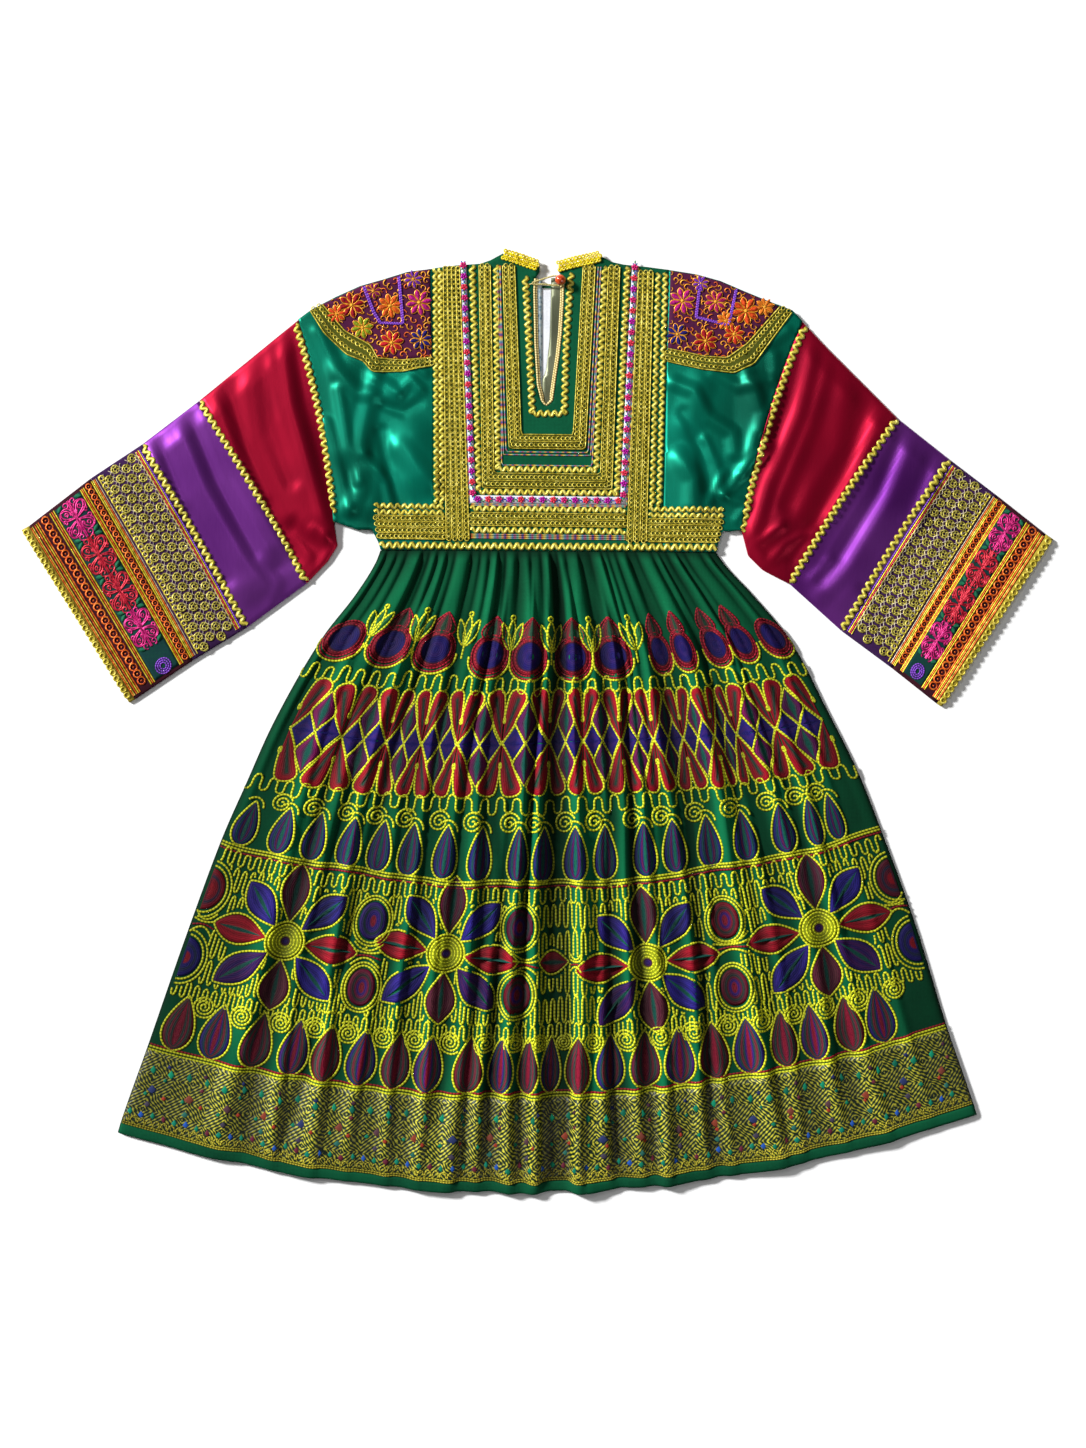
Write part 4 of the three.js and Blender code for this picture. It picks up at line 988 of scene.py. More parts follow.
def build_fills(name, store, surface, finish, slot, high=1.1):
    """All filled shapes of a store as one piece, laid on a surface and high mm thick."""
    points, faces, colours, depths, start = [], [], [], [], 0
    for spot, coarse, coarse_spine, bands in store:
        outline, spine, half = halved(coarse), halved(coarse_spine), len(coarse)
        far = np.hypot(*(spine - outline).T) / 1000
        rings = []
        for (share, code), after in zip(bands, [band[0] for band in bands[1:]] + [1.0]):
            steps = max(1, round((after - share) * far.max() / 0.0035))
            rings += [(share + (after - share) * k / steps, code) for k in range(steps)]
        last = rings[-1][1]
        centre = coarse_spine.mean(axis=0)[None, :]
        levels = [(mix(outline, spine, s), high * (0.75 + 0.25 * math.sin(3.1 * s)) if k else -0.2, code,
                   far * s) for k, (s, code) in enumerate(rings)] + [(centre, high, last, far[:1])]
        levels += [(mix(coarse, coarse_spine, s), -0.7, code, far[::2] * s)
                   for s, code in rings[1::2] or [(0.5, last)]]
        levels += [(centre, -0.7, last, far[:1])]
        firsts = []
        for flat, lift, code, depth in levels:
            firsts.append(start)
            points.append(surface(*spot(flat).T, lift))
            start += len(flat)
            colours.append(np.tile(linear(code), (len(flat), 1)))
            depths.append(depth)
        outer = spot(outline)
        area = (outer[:, 0] * np.roll(outer[:, 1], -1) - np.roll(outer[:, 0], -1) * outer[:, 1]).sum()
        i = np.arange(2 * half)
        j = (i + 1) % (2 * half)
        own = []
        for a, b in zip(firsts[:len(rings) - 1], firsts[1:]):
            own += [np.stack([a + i, a + j, b + j], axis=1), np.stack([a + i, b + j, b + i], axis=1)]
        a, below = firsts[len(rings) - 1], firsts[len(rings) + 1:]
        own.append(np.stack([a + i, a + j, i * 0 + firsts[len(rings)]], axis=1))
        a, b, n = firsts[0], below[0], np.arange(half)
        m, odd, even = (n + 1) % half, 2 * n + 1, (2 * n + 2) % (2 * half)
        own += [np.stack(three, axis=1)[:, ::-1] for three in (
            (a + 2 * n, a + odd, b + n), (a + odd, b + m, b + n), (a + odd, a + even, b + m))]
        for a, b in zip(below[:-2], below[1:]):
            own += [np.stack([a + n, b + m, a + m], axis=1), np.stack([a + n, b + n, b + m], axis=1)]
        own.append(np.stack([below[-2] + m, below[-2] + n, n * 0 + below[-1]], axis=1))
        own = np.concatenate(own)
        faces.append(own if area > 0 else own[:, ::-1])
    values = {"thread": np.concatenate(colours), "inwards": np.concatenate(depths)}
    return add_piece(name, np.concatenate(points), np.concatenate(faces), finish, slot, values=values,
                     turn=False)


def meander(depth, tall, period, start=0.0, end=1.0, phase=0.0, bulge=0.085):
    """A rounded to-and-fro line right across the skirt."""
    width = float(skirt_width(depth))
    turns = (end - start) * width / period
    angle = np.linspace(0, 2 * np.pi * turns, int(turns * 13))
    along = angle / (2 * np.pi) - bulge * np.sin(2 * (angle + phase))
    share = np.clip(start + along * period / width, start, end)
    wobble = 1.4 * np.sin(share * 61 + depth) + 0.8 * np.sin(share * 23 + depth)
    height = tall * np.sin(angle + phase) * (1 + 0.12 * np.sin(share * 97))
    return np.column_stack([share, depth + height + wobble])


print("drawing helpers are ready")

# %% [markdown]
# ## The upper rows of the skirt
# Below the gathers runs a row of round pomegranates with yellow scallops and sprigs, then a meander, then a
# wide lattice of red hearts, blue and purple lozenges, and a second meander. Their places are counted from
# the real skirt, where the rows crowd together over the gathers. A heart is two halves that meet in a point
# at each crossing of the lattice, so a crowded crossing gets a narrow one and a wide gap a broad one.

# %% Pomegranates and the first meander
DISCS = [0.046, 0.147, 0.245, 0.362, 0.446, 0.538, 0.623, 0.723, 0.773, 0.843, 0.90, 0.97]
NAVY, VIOLET, TEAL, RED, MAROON, MAGENTA = "#20186A", "#321C68", "#0C4E44", "#960E20", "#4A0E2A", "#740F4E"
SPRIG_BANDS = [(0, "#1E6A36"), (0.4, "#0C5A3A"), (0.9, "#2A6A30")]
CROWN_BANDS = [(0, "#5A1420"), (0.3, "#2E3A2A"), (0.6, "#6A1828"), (0.9, "#1E4432")]
DISC_BANDS = [(0, "#4A0C1A"), (0.08, "#7E0E20"), (0.22, "#560E20"), (0.27, "#2A1230"), (0.34, "#181054"),
              (0.7, "#281656"), (0.9, "#181054")]
ROUND, TALL = 22, 23  # half width and half height of the widest disc


def motif(spot, outline, spine, bands, rim=1.05):
    """A filled shape on the skirt with a yellow row of chain stitch round it."""
    fill_shape(SKIRT_FILLS, spot, outline, spine, bands)
    draw("yellow", spot, closed(mix(spine, outline, rim)))


for k, share in enumerate(DISCS):
    depth = 122 - 5 * math.cos(6 * share)
    spot = around(share, depth)
    left, right = ([-0.07] + DISCS)[k], (DISCS + [1.04])[k + 1]
    width = float(skirt_width(depth))
    nearest = min(right - share, share - left) * width
    half = min(26, (right - left) * width / 4.3, nearest * 0.51)
    wide = min(ROUND, half * 0.88)
    if 0.05 < share < 0.95:
        crown, spine = leaf((0, -17), (2, -46), wide * 0.7, count=12, fat=0.3, pointed=0.8)
        fill_shape(SKIRT_FILLS, spot, crown, spine, CROWN_BANDS)
        for size in (1.02, 0.62):
            draw("red", spot, closed(mix(spine, crown, size)))
    fill_shape(SKIRT_FILLS, spot, oval(wide, TALL), oval(0.5, 0.5), DISC_BANDS)
    for size in (1.02, 0.82):
        draw("red", spot, closed(oval(wide * size, TALL * size)))
    angle = np.linspace(-0.1, math.pi + 0.1, 20)
    for size, colour in ((1.0, "yellow"), (0.89, "red")):
        draw(colour, spot, np.column_stack([half * size * np.cos(angle), 6 + 24 * size * np.sin(angle)]))
    if k + 1 < len(DISCS) and (right - share) * width > 40:
        sprig = around((share + right) / 2, depth - 26)
        for hand in (-1, 0, 1):
            tulip, spine = leaf((hand * 1.5, 20), (hand * 12, -12 - 4 * (hand == 0)), 4.4, count=8)
            motif(sprig, tulip, spine, SPRIG_BANDS)
        draw("yellow", sprig, np.array([(0, 36), (0, 28), (0, 19)]))
        draw("yellow", sprig, closed(oval(2.6, 2.6, 8) + [0, -19]))
SKIRT_LINES["yellow"].append(meander(162, 9.5, 18.5))
SKIRT_LINES["yellow"].append(meander(305, 9.5, 19.5, phase=0.9))
print("filled shapes so far:", len(SKIRT_FILLS))

# %% The lattice of hearts
CROSSINGS = [-0.04, 0.032, 0.125, 0.206, 0.268, 0.332, 0.411, 0.495, 0.557, 0.625, 0.684, 0.736, 0.79, 0.83,
             0.90, 0.984, 1.05]
HEART_DEPTH = 232
HEART_BANDS = [(0, "#4A0812"), (0.1, RED), (0.5, "#960E20"), (0.8, "#5A2A2C"), (0.92, "#244436")]
# half a heart: share of the room beside the crossing, and mm up from it
HEART_EDGE = [(0, 0), (0.26, 11), (0.50, 23), (0.66, 36), (0.84, 46), (0.95, 55), (0.80, 62), (0.42, 65),
              (0.16, 62), (0.07, 50), (0.02, 38), (0.0, 25)]
heart_width = float(skirt_width(HEART_DEPTH))


def rounded_path(points, count):
    """An open path with its corners cut twice, at a given number of even steps."""
    points = np.asarray(points, float)
    for _ in range(2):
        near, far = mix(points[:-1], points[1:], 0.25), mix(points[:-1], points[1:], 0.75)
        points = np.vstack([points[:1], np.stack([near, far], axis=1).reshape(-1, 2), points[-1:]])
    at = np.r_[0, np.cumsum(np.hypot(*np.diff(points, axis=0).T))]
    return np.column_stack([np.interp(np.linspace(0, at[-1], count), at, points[:, i]) for i in (0, 1)])


def heart_half(side, up, room):
    """Half a heart from its point at the crossing: outline, spine and the line stitched round it."""
    line = rounded_path(np.array(HEART_EDGE) * [room, 1], 24) * [side, up]
    outline = np.vstack([line, [(side * 0.02 * room, up * 20), (side * 0.02 * room, up * 10)]])
    a, b = np.array([0.12 * room * side, up * 14]), np.array([0.52 * room * side, up * 52])
    t = np.clip(((outline - a) @ (b - a)) / ((b - a) @ (b - a)), 0, 1)[:, None]
    return outline, a + t * (b - a), line


def inside_skirt(shape, spot):
    return spot(shape)[:, 0].min() > 0.004 and spot(shape)[:, 0].max() < 0.996


for k, (share, after) in enumerate(zip(CROSSINGS, CROSSINGS[1:])):
    half = (after - share) * heart_width / 2
    level = HEART_DEPTH + 4 * math.sin(9 * share)
    here, between = around(share, level), around((share + after) / 2, level)
    for side in (-1, 1):
        room = half if side > 0 or k == 0 else (share - CROSSINGS[k - 1]) * heart_width / 2
        for up in (-1, 1):
            lobe, spine, rim = heart_half(side, up, room)
            if inside_skirt(lobe, here):
                fill_shape(SKIRT_FILLS, here, lobe, spine, HEART_BANDS)
                draw("yellow", here, rim)
        blue, spine = leaf((side * 0.06 * half, 0), (side * 0.98 * half, 0), 22, count=9, pointed=None)
        spot = here if side > 0 else around(after, level)
        if inside_skirt(blue, spot):
            motif(spot, blue, spine, [(0, "#181250"), (0.2, NAVY), (0.6, VIOLET), (0.9, NAVY)], 1.03)
    for up in (-1, 1):
        lozenge, spine = leaf((0, up * 2), (0, up * 50), 0.52 * half, count=9, fat=0.46, pointed=None)
        if inside_skirt(lozenge, between):
            purple = MAGENTA if k % 2 else "#54164C"
            motif(between, lozenge, spine,
                  [(0, "#3E0C34"), (0.2, purple), (0.6, "#46163E"), (0.85, TEAL)], 1.03)
        if 0.01 < share < 0.99:
            draw("yellow", here, closed(oval(1.6, 3.6, 9) + [0, up * 27]))
print("filled shapes so far:", len(SKIRT_FILLS))

# %% [markdown]
# ## Leaves with scrolls, and the ruled line
# Under the second meander stand plump leaves, each outlined in yellow with its line running on into a scroll
# beside the tip. They stand on a double ruled line, and a short tight meander hangs below it.

# %% Leaves with scrolls
UPPER_LEAVES = [0.027, 0.083, 0.133, 0.187, 0.234, 0.281, 0.335, 0.389, 0.448, 0.487,
                0.537, 0.584, 0.645, 0.691,
                0.745, 0.80, 0.86, 0.906, 0.939, 0.985]
RULE = 398


def ruled_line(depth, wave=2.0):
    share = np.linspace(0.002, 0.998, 330)
    return np.column_stack([share, depth + wave * np.sin(share * 23) + 0.5 * wave * np.sin(share * 57)])


def gap_beside(share, row, depth):
    """From one place in a row to the nearest other one, in mm."""
    return min(abs(share - other) for other in row if other != share) * float(skirt_width(depth))


def scroll(centre, radius, core, turns, start, count):
    """A line that winds in to a centre."""
    t = np.linspace(0, 1, count)
    angle, reach = 2 * math.pi * turns * t + start, radius * (1 - t) + core
    return np.column_stack([centre[0] + reach * np.cos(angle), centre[1] + reach * np.sin(angle)])


for k, share in enumerate(UPPER_LEAVES):
    spot = around(share, RULE - 2)
    half = min(14.0, gap_beside(share, UPPER_LEAVES, RULE) * 0.4)
    shape, spine = leaf((0, 0), (1, -66), half, count=13, fat=0.33, pointed=0.72)
    if not inside_skirt(shape, spot):
        continue
    core = (NAVY, VIOLET, "#221F4E")[k % 3]
    motif(spot, shape, spine, [(0, "#140F44"), (0.2, "#1E1866"), (0.45, "#0C4A3E"), (0.56, core),
                               (0.7, "#5A1234"), (0.8, "#1E1A58"), (0.92, "#0C5A48")], 1.06)
    beside = scroll((-12, -70), 12.5, 1.2, -2.3, -0.4, 46)
    if inside_skirt(beside, spot):
        draw("yellow", spot, beside)
    t = np.linspace(0, 1, 46)
    draw("yellow", spot, np.column_stack([12 * np.cos(t * 2.4), -58 - 14 * np.sin(t * 2.4)]))
for shift in (-2.2, 1.6):
    SKIRT_LINES["yellow"].append(ruled_line(RULE + shift))
SKIRT_LINES["red"].append(ruled_line(RULE + 5.2))
print("filled shapes so far:", len(SKIRT_FILLS))

# %% [markdown]
# ## The band of great flowers
# Four eight-petalled flowers stand between pairs of ovals, and part flowers run into the side seams. The
# ground round them is packed with to-and-fro rows of chain stitch, which stop at every petal and oval, so
# almost no green is left between them.

# %% Great flowers
FLOWERS = [(0.131, 493.5, 0.0), (0.354, 483.8, 0.05), (0.636, 499.9, -0.03), (0.875, 494.8, 0.04)]
OVALS = [(0.245, 454), (0.246, 533), (0.456, 450), (0.456, 531), (0.75, 462), (0.749, 544)]
PETALS = [("#7E0A1A", "#9C1024"), ("#1C1664", "#2A2080"), ("#4A1228", "#5A2A34"), ("#241452", "#3E1650"),
          ("#7E0A1A", "#9C1024"), ("#1C1664", "#302280"), ("#56122E", "#3E3034"), ("#1A1448", "#262070")]


def petal(angle, start=22.0, end=88.0, half=17.0):
    ray = np.array([math.cos(angle), math.sin(angle)])
    return leaf(ray * start, ray * end, half, count=13, fat=0.56, pointed=0.8)


taken = []
for n, (share, depth, lean) in enumerate(FLOWERS):
    spot = around(share, depth)
    for k in range(8):
        angle = lean + k * math.pi / 4 + 0.05 * math.sin(5 * k + n)
        shape, spine = petal(angle, end=86 if k % 4 == 0 else 92 - 4 * (k % 3))
        if not inside_skirt(shape, spot):
            continue
        dark, main = PETALS[(k + 2 * (n % 2) * (k % 2)) % 8]
        motif(spot, shape, spine,
              [(0, dark), (0.15, dark), (0.4, main), (0.66, dark), (0.8, main), (0.92, TEAL)])
        taken.append(spot(mix(spine, shape, 1.22)))
    fill_shape(SKIRT_FILLS, spot, oval(22, 22), oval(0.4, 0.4),
               [(0, "#6E7808"), (0.3, "#8E980E"), (0.72, "#A8B010"), (0.8, MAROON), (0.9, VIOLET)])
    for size in (22.5, 18.6, 14.8, 11.0, 7.2):
        draw("yellow", spot, closed(oval(size, size, 30)))
    taken.append(spot(oval(26, 26)))
for k, (share, depth) in enumerate(OVALS):
    spot = around(share, depth)
    rim = (VIOLET, "#6A1030", MAROON, "#5E0E1E", "#6E0E1E", "#5A0E22")[k]
    fill_shape(SKIRT_FILLS, spot, oval(17, 23.5), oval(0.5, 3),
               [(0, rim), (0.2, rim), (0.42, "#14302E"), (0.55, rim), (0.75, NAVY), (0.88, "#7A1226")])
    for grow in (2.4, 6.2):
        draw("yellow", spot, closed(oval(17 + grow, 23.5 + grow, 30)))
    taken.append(spot(oval(24.5, 31)))
spot = around(0.528, 492.7)
shape, spine = petal(math.pi, start=1, end=37, half=14)
motif(spot, shape, spine, [(0, "#6E0A18"), (0.2, "#8E0E20"), (0.7, "#7A1424"), (0.9, TEAL)], 1.06)
taken.append(spot(mix(spine, shape, 1.3)))

# the flowers that run into the side seams show only a round half
arc = np.linspace(-math.pi / 2, math.pi / 2, 15)
for share, hand, depth, colour in ((0.005, 1, 455, "#7E0E20"), (0.005, 1, 537, NAVY),
                                   (0.995, -1, 461, "#5A1028"),
                                   (0.995, -1, 543, NAVY)):
    spot = around(share, depth)
    rim = np.column_stack([hand * 21 * np.cos(arc) + hand * 0.6, 25 * np.sin(arc)])
    outline = np.vstack([rim, np.column_stack([np.full(7, hand * 0.6), np.linspace(22, -22, 7)])])
    fill_shape(SKIRT_FILLS, spot, outline, mix(np.array([hand * 4.0, 0.0]), outline, 0.1),
               [(0, colour), (0.25, colour), (0.45, "#1E2A40"), (0.6, colour), (0.85, RED)])
    for grow in (1.1, 1.32):
        draw("yellow", spot, rim * grow)
    taken.append(spot(outline * 1.4))

# bows of four rows join the flowers
for start, end in ((0.0, 0.035), (0.222, 0.268), (0.445, 0.487),
                   (0.526, 0.547), (0.725, 0.782), (0.965, 1.0)):
    share = np.linspace(start + 0.003, end - 0.003, 16)
    pinch = (share - (start + end) / 2) / (end - start)
    for rank in (-1.5, -0.5, 0.5, 1.5):
        bow = np.column_stack([share, 493.5 + rank * (3.0 + 34 * pinch ** 2)])
        SKIRT_LINES["red" if rank == 0.5 else "yellow"].append(bow)
        taken.append(np.vstack([bow, bow[::-1] + [0, 3]]))
print("filled shapes so far:", len(SKIRT_FILLS))

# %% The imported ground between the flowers


def runs_inside(points, inside, shortest):
    """The stretches of a line whose points lie inside, if they have enough points."""
    change = np.flatnonzero(np.diff(np.r_[False, inside, False]))
    return [points[a:b] for a, b in zip(change[::2], change[1::2]) if b - a >= shortest]


def packed_rows(depth, tall, period, lean):
    """To-and-fro rows, broken wherever another motif already lies."""
    line = meander(depth, tall, period, 0.006, 0.994, phase=lean, bulge=0.1)
    finer = np.linspace(0, len(line) - 1, 2 * len(line))
    dense = np.column_stack([np.interp(finer, np.arange(len(line)), line[:, i]) for i in (0, 1)])
    blocked = np.zeros(len(dense), bool)
    for shape in taken:
        near = np.abs(dense[:, 0] - shape[:, 0].mean()) < 0.12
        blocked[near] |= inside_outline(dense[near, 0], dense[near, 1], shape)
    return runs_inside(dense, ~blocked, 5)


# depth of the row, half height and length of a turn in mm, phase
PACKED_ROWS = [(413, 9, 12.4, 0.5), (438, 15, 9.8, 0.0), (473, 18, 9.4, 0.7), (514, 18, 9.8, 0.3),
               (550, 16, 9.4, 1.2), (576, 9, 10.6, 0.2)]
for packed_row in PACKED_ROWS:
    SKIRT_LINES["yellow"] += packed_rows(*packed_row)
print("yellow rows:", len(SKIRT_LINES["yellow"]))

# %% [markdown]
# ## Tall leaves above the hem
# Above the brocade stands a row of tall dark leaves with yellow coiled discs between their tips, on a line of
# chain stitch that hides the seam of the brocade.

# %% Tall leaves
LOWER_LEAVES = [0.029, 0.076, 0.128, 0.176, 0.217, 0.262, 0.306, 0.347, 0.398, 0.439, 0.474,
                0.503, 0.538, 0.579,
                0.624, 0.668, 0.712, 0.756, 0.801, 0.839, 0.884, 0.924, 0.977]
base = BAND_TOP - 5
for k, share in enumerate(LOWER_LEAVES):
    spot = around(share, base)
    gap = gap_beside(share, LOWER_LEAVES, base)
    shape, spine = leaf((0, 0), (1.5, -68), min(18, gap * 0.44), count=13, fat=0.36, pointed=0.8)
    if inside_skirt(shape, spot):
        rim = ("#641022", "#2A1A6E", "#561430", "#3E1668")[k % 4]
        motif(spot, shape, spine, [(0, rim), (0.15, rim), (0.36, "#14483E"), (0.48, "#7A1430"),
                                   (0.66, "#16403A"), (0.78, rim), (0.92, "#8A1430")], 1.06)
    if k + 1 < len(LOWER_LEAVES):
        disc = around((share + LOWER_LEAVES[k + 1]) / 2, base - 60)
        draw("yellow", disc, scroll((0, 0), min(13.5, gap * 0.36), 0.8, 3.2, k, 60))
for shift, colour in ((-3.4, "yellow"), (0.4, "yellow"), (-6.2, "red")):
    SKIRT_LINES[colour].append(ruled_line(BAND_TOP + shift, 0.8))
print("filled shapes:", len(SKIRT_FILLS))

# %% Lay all the embroidery on the skirt
for k in (0, 1):
    build_fills(f"skirt_filled_shapes_{k + 1}", SKIRT_FILLS[k::2], on_skirt, filled_stitch, "cotton_green")


def laid(lines, lift):
    """Flat lines laid on the skirt all at once, and parted again."""
    flat = np.concatenate(lines)
    placed = on_skirt(np.clip(flat[:, 0], 0.0015, 0.9985), flat[:, 1], lift)
    return np.split(placed, np.cumsum([len(line) for line in lines])[:-1])


yellow_lines = laid(SKIRT_LINES["yellow"], 0.6)
half_way = len(yellow_lines) // 2
for part, lines in (("upper", yellow_lines[:half_way]), ("lower", yellow_lines[half_way:])):
    lay_threads(f"yellow_chain_stitch_{part}", lines, 2.8, 1.5, yellow_stitch)
lay_threads("red_chain_stitch", laid(SKIRT_LINES["red"], 0.55), 2.3, 1.3, red_stitch)
print("embroidery triangles:", {k: v for k, v in MADE.items() if "stitch" in k or "filled" in k})
print("embroidery triangles:", {k: v for k, v in MADE.items() if "stitch" in k or "filled" in k})

# %% [markdown]
# ## Copies set on points
# Beads, the loops of gold braid, lace rosettes and woven flowers repeat hundreds of times. A second node tree
# sets one small shape on every point, turned and sized by values kept on the points, makes the copies real
# and gives them their material. Each small shape has only a few dozen faces.

# %% A node tree for copies


def copies_tree():
    tree = bpy.data.node_groups.new("copies_on_points", "GeometryNodeTree")
    given = add_inputs(tree, [("Points", "NodeSocketGeometry"), ("Shape", "NodeSocketObject"),
                              ("Overall Size", "NodeSocketFloat"), ("Finish", "NodeSocketMaterial")])
    shape = add_node(tree, "GeometryNodeObjectInfo", {"Object": given["Shape"]}).outputs["Geometry"]
    turn = add_node(tree, "GeometryNodeInputNamedAttribute", {"Name": "turn"}, data_type="FLOAT_VECTOR")
    size = add_node(tree, "GeometryNodeInputNamedAttribute", {"Name": "size"}, data_type="FLOAT_VECTOR")
    rotation = add_node(tree, "FunctionNodeEulerToRotation", {"Euler": turn.outputs[0]})
    scale = add_node(tree, "ShaderNodeVectorMath", {0: size.outputs[0], "Scale": given["Overall Size"]},
                     operation="SCALE")
    placed = add_node(tree, "GeometryNodeInstanceOnPoints",
                      {"Points": given["Points"], "Instance": shape, "Rotation": rotation.outputs[0],
                       "Scale": scale.outputs[0]})
    real = add_node(tree, "GeometryNodeRealizeInstances", {"Geometry": placed.outputs[0]})
    coloured = add_node(tree, "GeometryNodeSetMaterial",
                        {"Geometry": real.outputs[0], "Material": given["Finish"]})
    add_node(tree, "NodeGroupOutput", {"Result": coloured.outputs[0]})
    return tree


COPIES = copies_tree()


def set_copies(name, places, turns, sizes, unit, finish, nodes=(), colours=None):
    """places in mm, turns in radians about the upright, sizes as a factor or as three factors."""
    places = np.asarray(places, float)
    mesh = bpy.data.meshes.new(name + "_points")
    mesh.from_pydata(((places - MIDDLE) / 1000).tolist(), [], [])
    turn = np.zeros((len(places), 3))
    turn[:, 2] = turns
    size = np.asarray(sizes, float)
    size = np.tile(size[:, None], (1, 3)) if size.ndim == 1 else size
    for label, data in (("turn", turn), ("size", size)):
        mesh.attributes.new(label, "FLOAT_VECTOR", "POINT").data.foreach_set("vector", data.reshape(-1))
    if colours is not None:
        table = np.array([linear(code) for code in colours])
        tones = mesh.color_attributes.new("thread", "FLOAT_COLOR", "POINT")
        tones.data.foreach_set("color", table.reshape(-1))
        mesh.attributes.new("inwards", "FLOAT", "POINT")
    shape = place_object(name + "_unit", unit)
    piece = grown(name, mesh, COPIES, {"Shape": shape, "Overall Size": 1.0, "Finish": finish}, nodes)
    bpy.data.objects.remove(shape)
    return piece


def unit_mesh(name, points, faces):
    mesh = bpy.data.meshes.new(name)
    mesh.from_pydata((np.asarray(points, float) / 1000).tolist(), [], [list(map(int, f)) for f in faces])
    return mesh


def tube_ring(radius, tube, segments=10, sides=4, squash=1.0):
    """Points and faces of one small closed ring of thread, in mm."""
    points, faces = [], []
    for i in range(segments):
        a = 2 * math.pi * i / segments
        for j in range(sides):
            b = 2 * math.pi * j / sides
            reach = radius + tube * math.cos(b)
            points.append((reach * math.cos(a), reach * squash * math.sin(a), tube * math.sin(b)))
            n, m = (i + 1) % segments, (j + 1) % sides
            faces.append((i * sides + j, n * sides + j, n * sides + m, i * sides + m))
    return points, faces


def dome(radius, height, sides=6, squash=1.0, foot=-0.3):
    angles = [2 * math.pi * k / sides for k in range(sides)]
    points = [(radius * math.cos(a), radius * squash * math.sin(a), foot) for a in angles]
    points += [(0.62 * x, 0.62 * y, height * 0.75) for x, y, _ in points] + [(0, 0, height), (0, 0, foot)]
    faces = []
    for k in range(sides):
        n = (k + 1) % sides
        faces += [(k, n, sides + n, sides + k), (sides + k, sides + n, 2 * sides), (n, k, 2 * sides + 1)]
    return points, faces


def joined(*parts):
    points, faces = [], []
    for p, f in parts:
        start = len(points)
        points += [tuple(q) for q in p]
        faces += [tuple(int(v) + start for v in face) for face in f]
    return points, faces


def moved(part, dx, dy, turn=0.0):
    c, s = math.cos(turn), math.sin(turn)
    return [(x * c - y * s + dx, x * s + y * c + dy, z) for x, y, z in part[0]], part[1]


braid_loop = unit_mesh("braid_loop", *tube_ring(2.45, 0.85, 8, 3, 0.92))
print("a braid loop has", len(braid_loop.polygons), "faces")

# %% [markdown]
# ## Brocade of the hem
# The hem is a band of machine-woven brocade: gold thread steps round small lozenges on a dark green ground.
# The pattern is nested diamonds, with lines 3.4 mm apart as on the real band, broken into dashes and bent a
# little by noise. Lozenges in teal, blue and brown thread stand on it in three rows.

# %% Brocade and binding


def figured_brocade(name, repeat=0.047, line=0.0036):
    """Gold weft floats in nested lozenges on dark green: it glints where the gold lies on top, and gets
    painted shade where it lies low in a fold.
    """
    finish, tree, shader = start_finish(name, Roughness=0.5, Metallic=0.15, Specular_IOR_Level=0.4)
    run, fall = stored(tree, "run"), stored(tree, "fall")
    flat = add_node(tree, "ShaderNodeCombineXYZ", {"X": run, "Y": fall}).outputs[0]
    wander = noise(tree, flat, 70.0, 3.0)
    across, down = (calc(tree, "PINGPONG", calc(tree, "MULTIPLY_ADD", wander, way, axis), repeat / 2)
                    for axis, way in ((run, 0.0068), (fall, -0.0068)))
    nested, crossed = (calc(tree, "SINE", calc(tree, "MULTIPLY", calc(tree, sum_of, across, down),
                                               2 * math.pi / (gap * 1.41)))
                       for sum_of, gap in (("ADD", line), ("SUBTRACT", line * 1.9)))
    figure = calc(tree, "MULTIPLY_ADD", crossed, 0.55, nested)
    speckled = calc(tree, "MULTIPLY_ADD", noise(tree, flat, 520.0, 1.0), 1.6, figure)
    gold = calc(tree, "MULTIPLY_ADD", speckled, 0.28, 0.28)
    colour = colours_along(tree, gold,
                           [(0.36, "#041C0C"), (0.52, "#2A4414"), (0.62, "#8E8C1E"), (0.9, "#CEC63A")])
    dress(tree, shader, painted_fold_shade(tree, colour, high=0.0115, least=0.2), gold, 0.6, 0.0008)
    return finish


brocade = figured_brocade("figured_gold_brocade")  # gold and green in equal parts, with painted shade in the folds
band_depths = np.linspace(BAND_TOP, BAND_BOTTOM, 15)
band_columns = np.linspace(0.001, 0.999, 300)
band_top = on_skirt(band_columns[None, :], band_depths[:, None], 0.9)
grid = band_top.shape[:2]
stored_places = {"run": np.tile(np.broadcast_to(band_columns[None, :], grid).reshape(-1), 2),
                 "fall": np.tile(np.broadcast_to(band_depths[:, None] / 1000, grid).reshape(-1), 2)}
hem_band = sheet_from_grid("brocade_hem_band", band_top, 0.8, brocade, "hem_brocade", ["hem_band"],
                           values=stored_places)
fold_depths = np.linspace(BAND_BOTTOM + 0.3, HEM, 5)
binding_top = on_skirt(band_columns[None, :], fold_depths[:, None], 0.9)
binding_top[..., 2] -= 0.7 * np.linspace(-1, 1, 5)[:, None] ** 4
hem_binding = sheet_from_grid("folded_hem_binding", binding_top, 0.8, binding_cotton, "binding_green",
                              ["hem_binding"])
cut_as(hem_band, 1130, 103)
cut_as(hem_binding, 1130, 14)

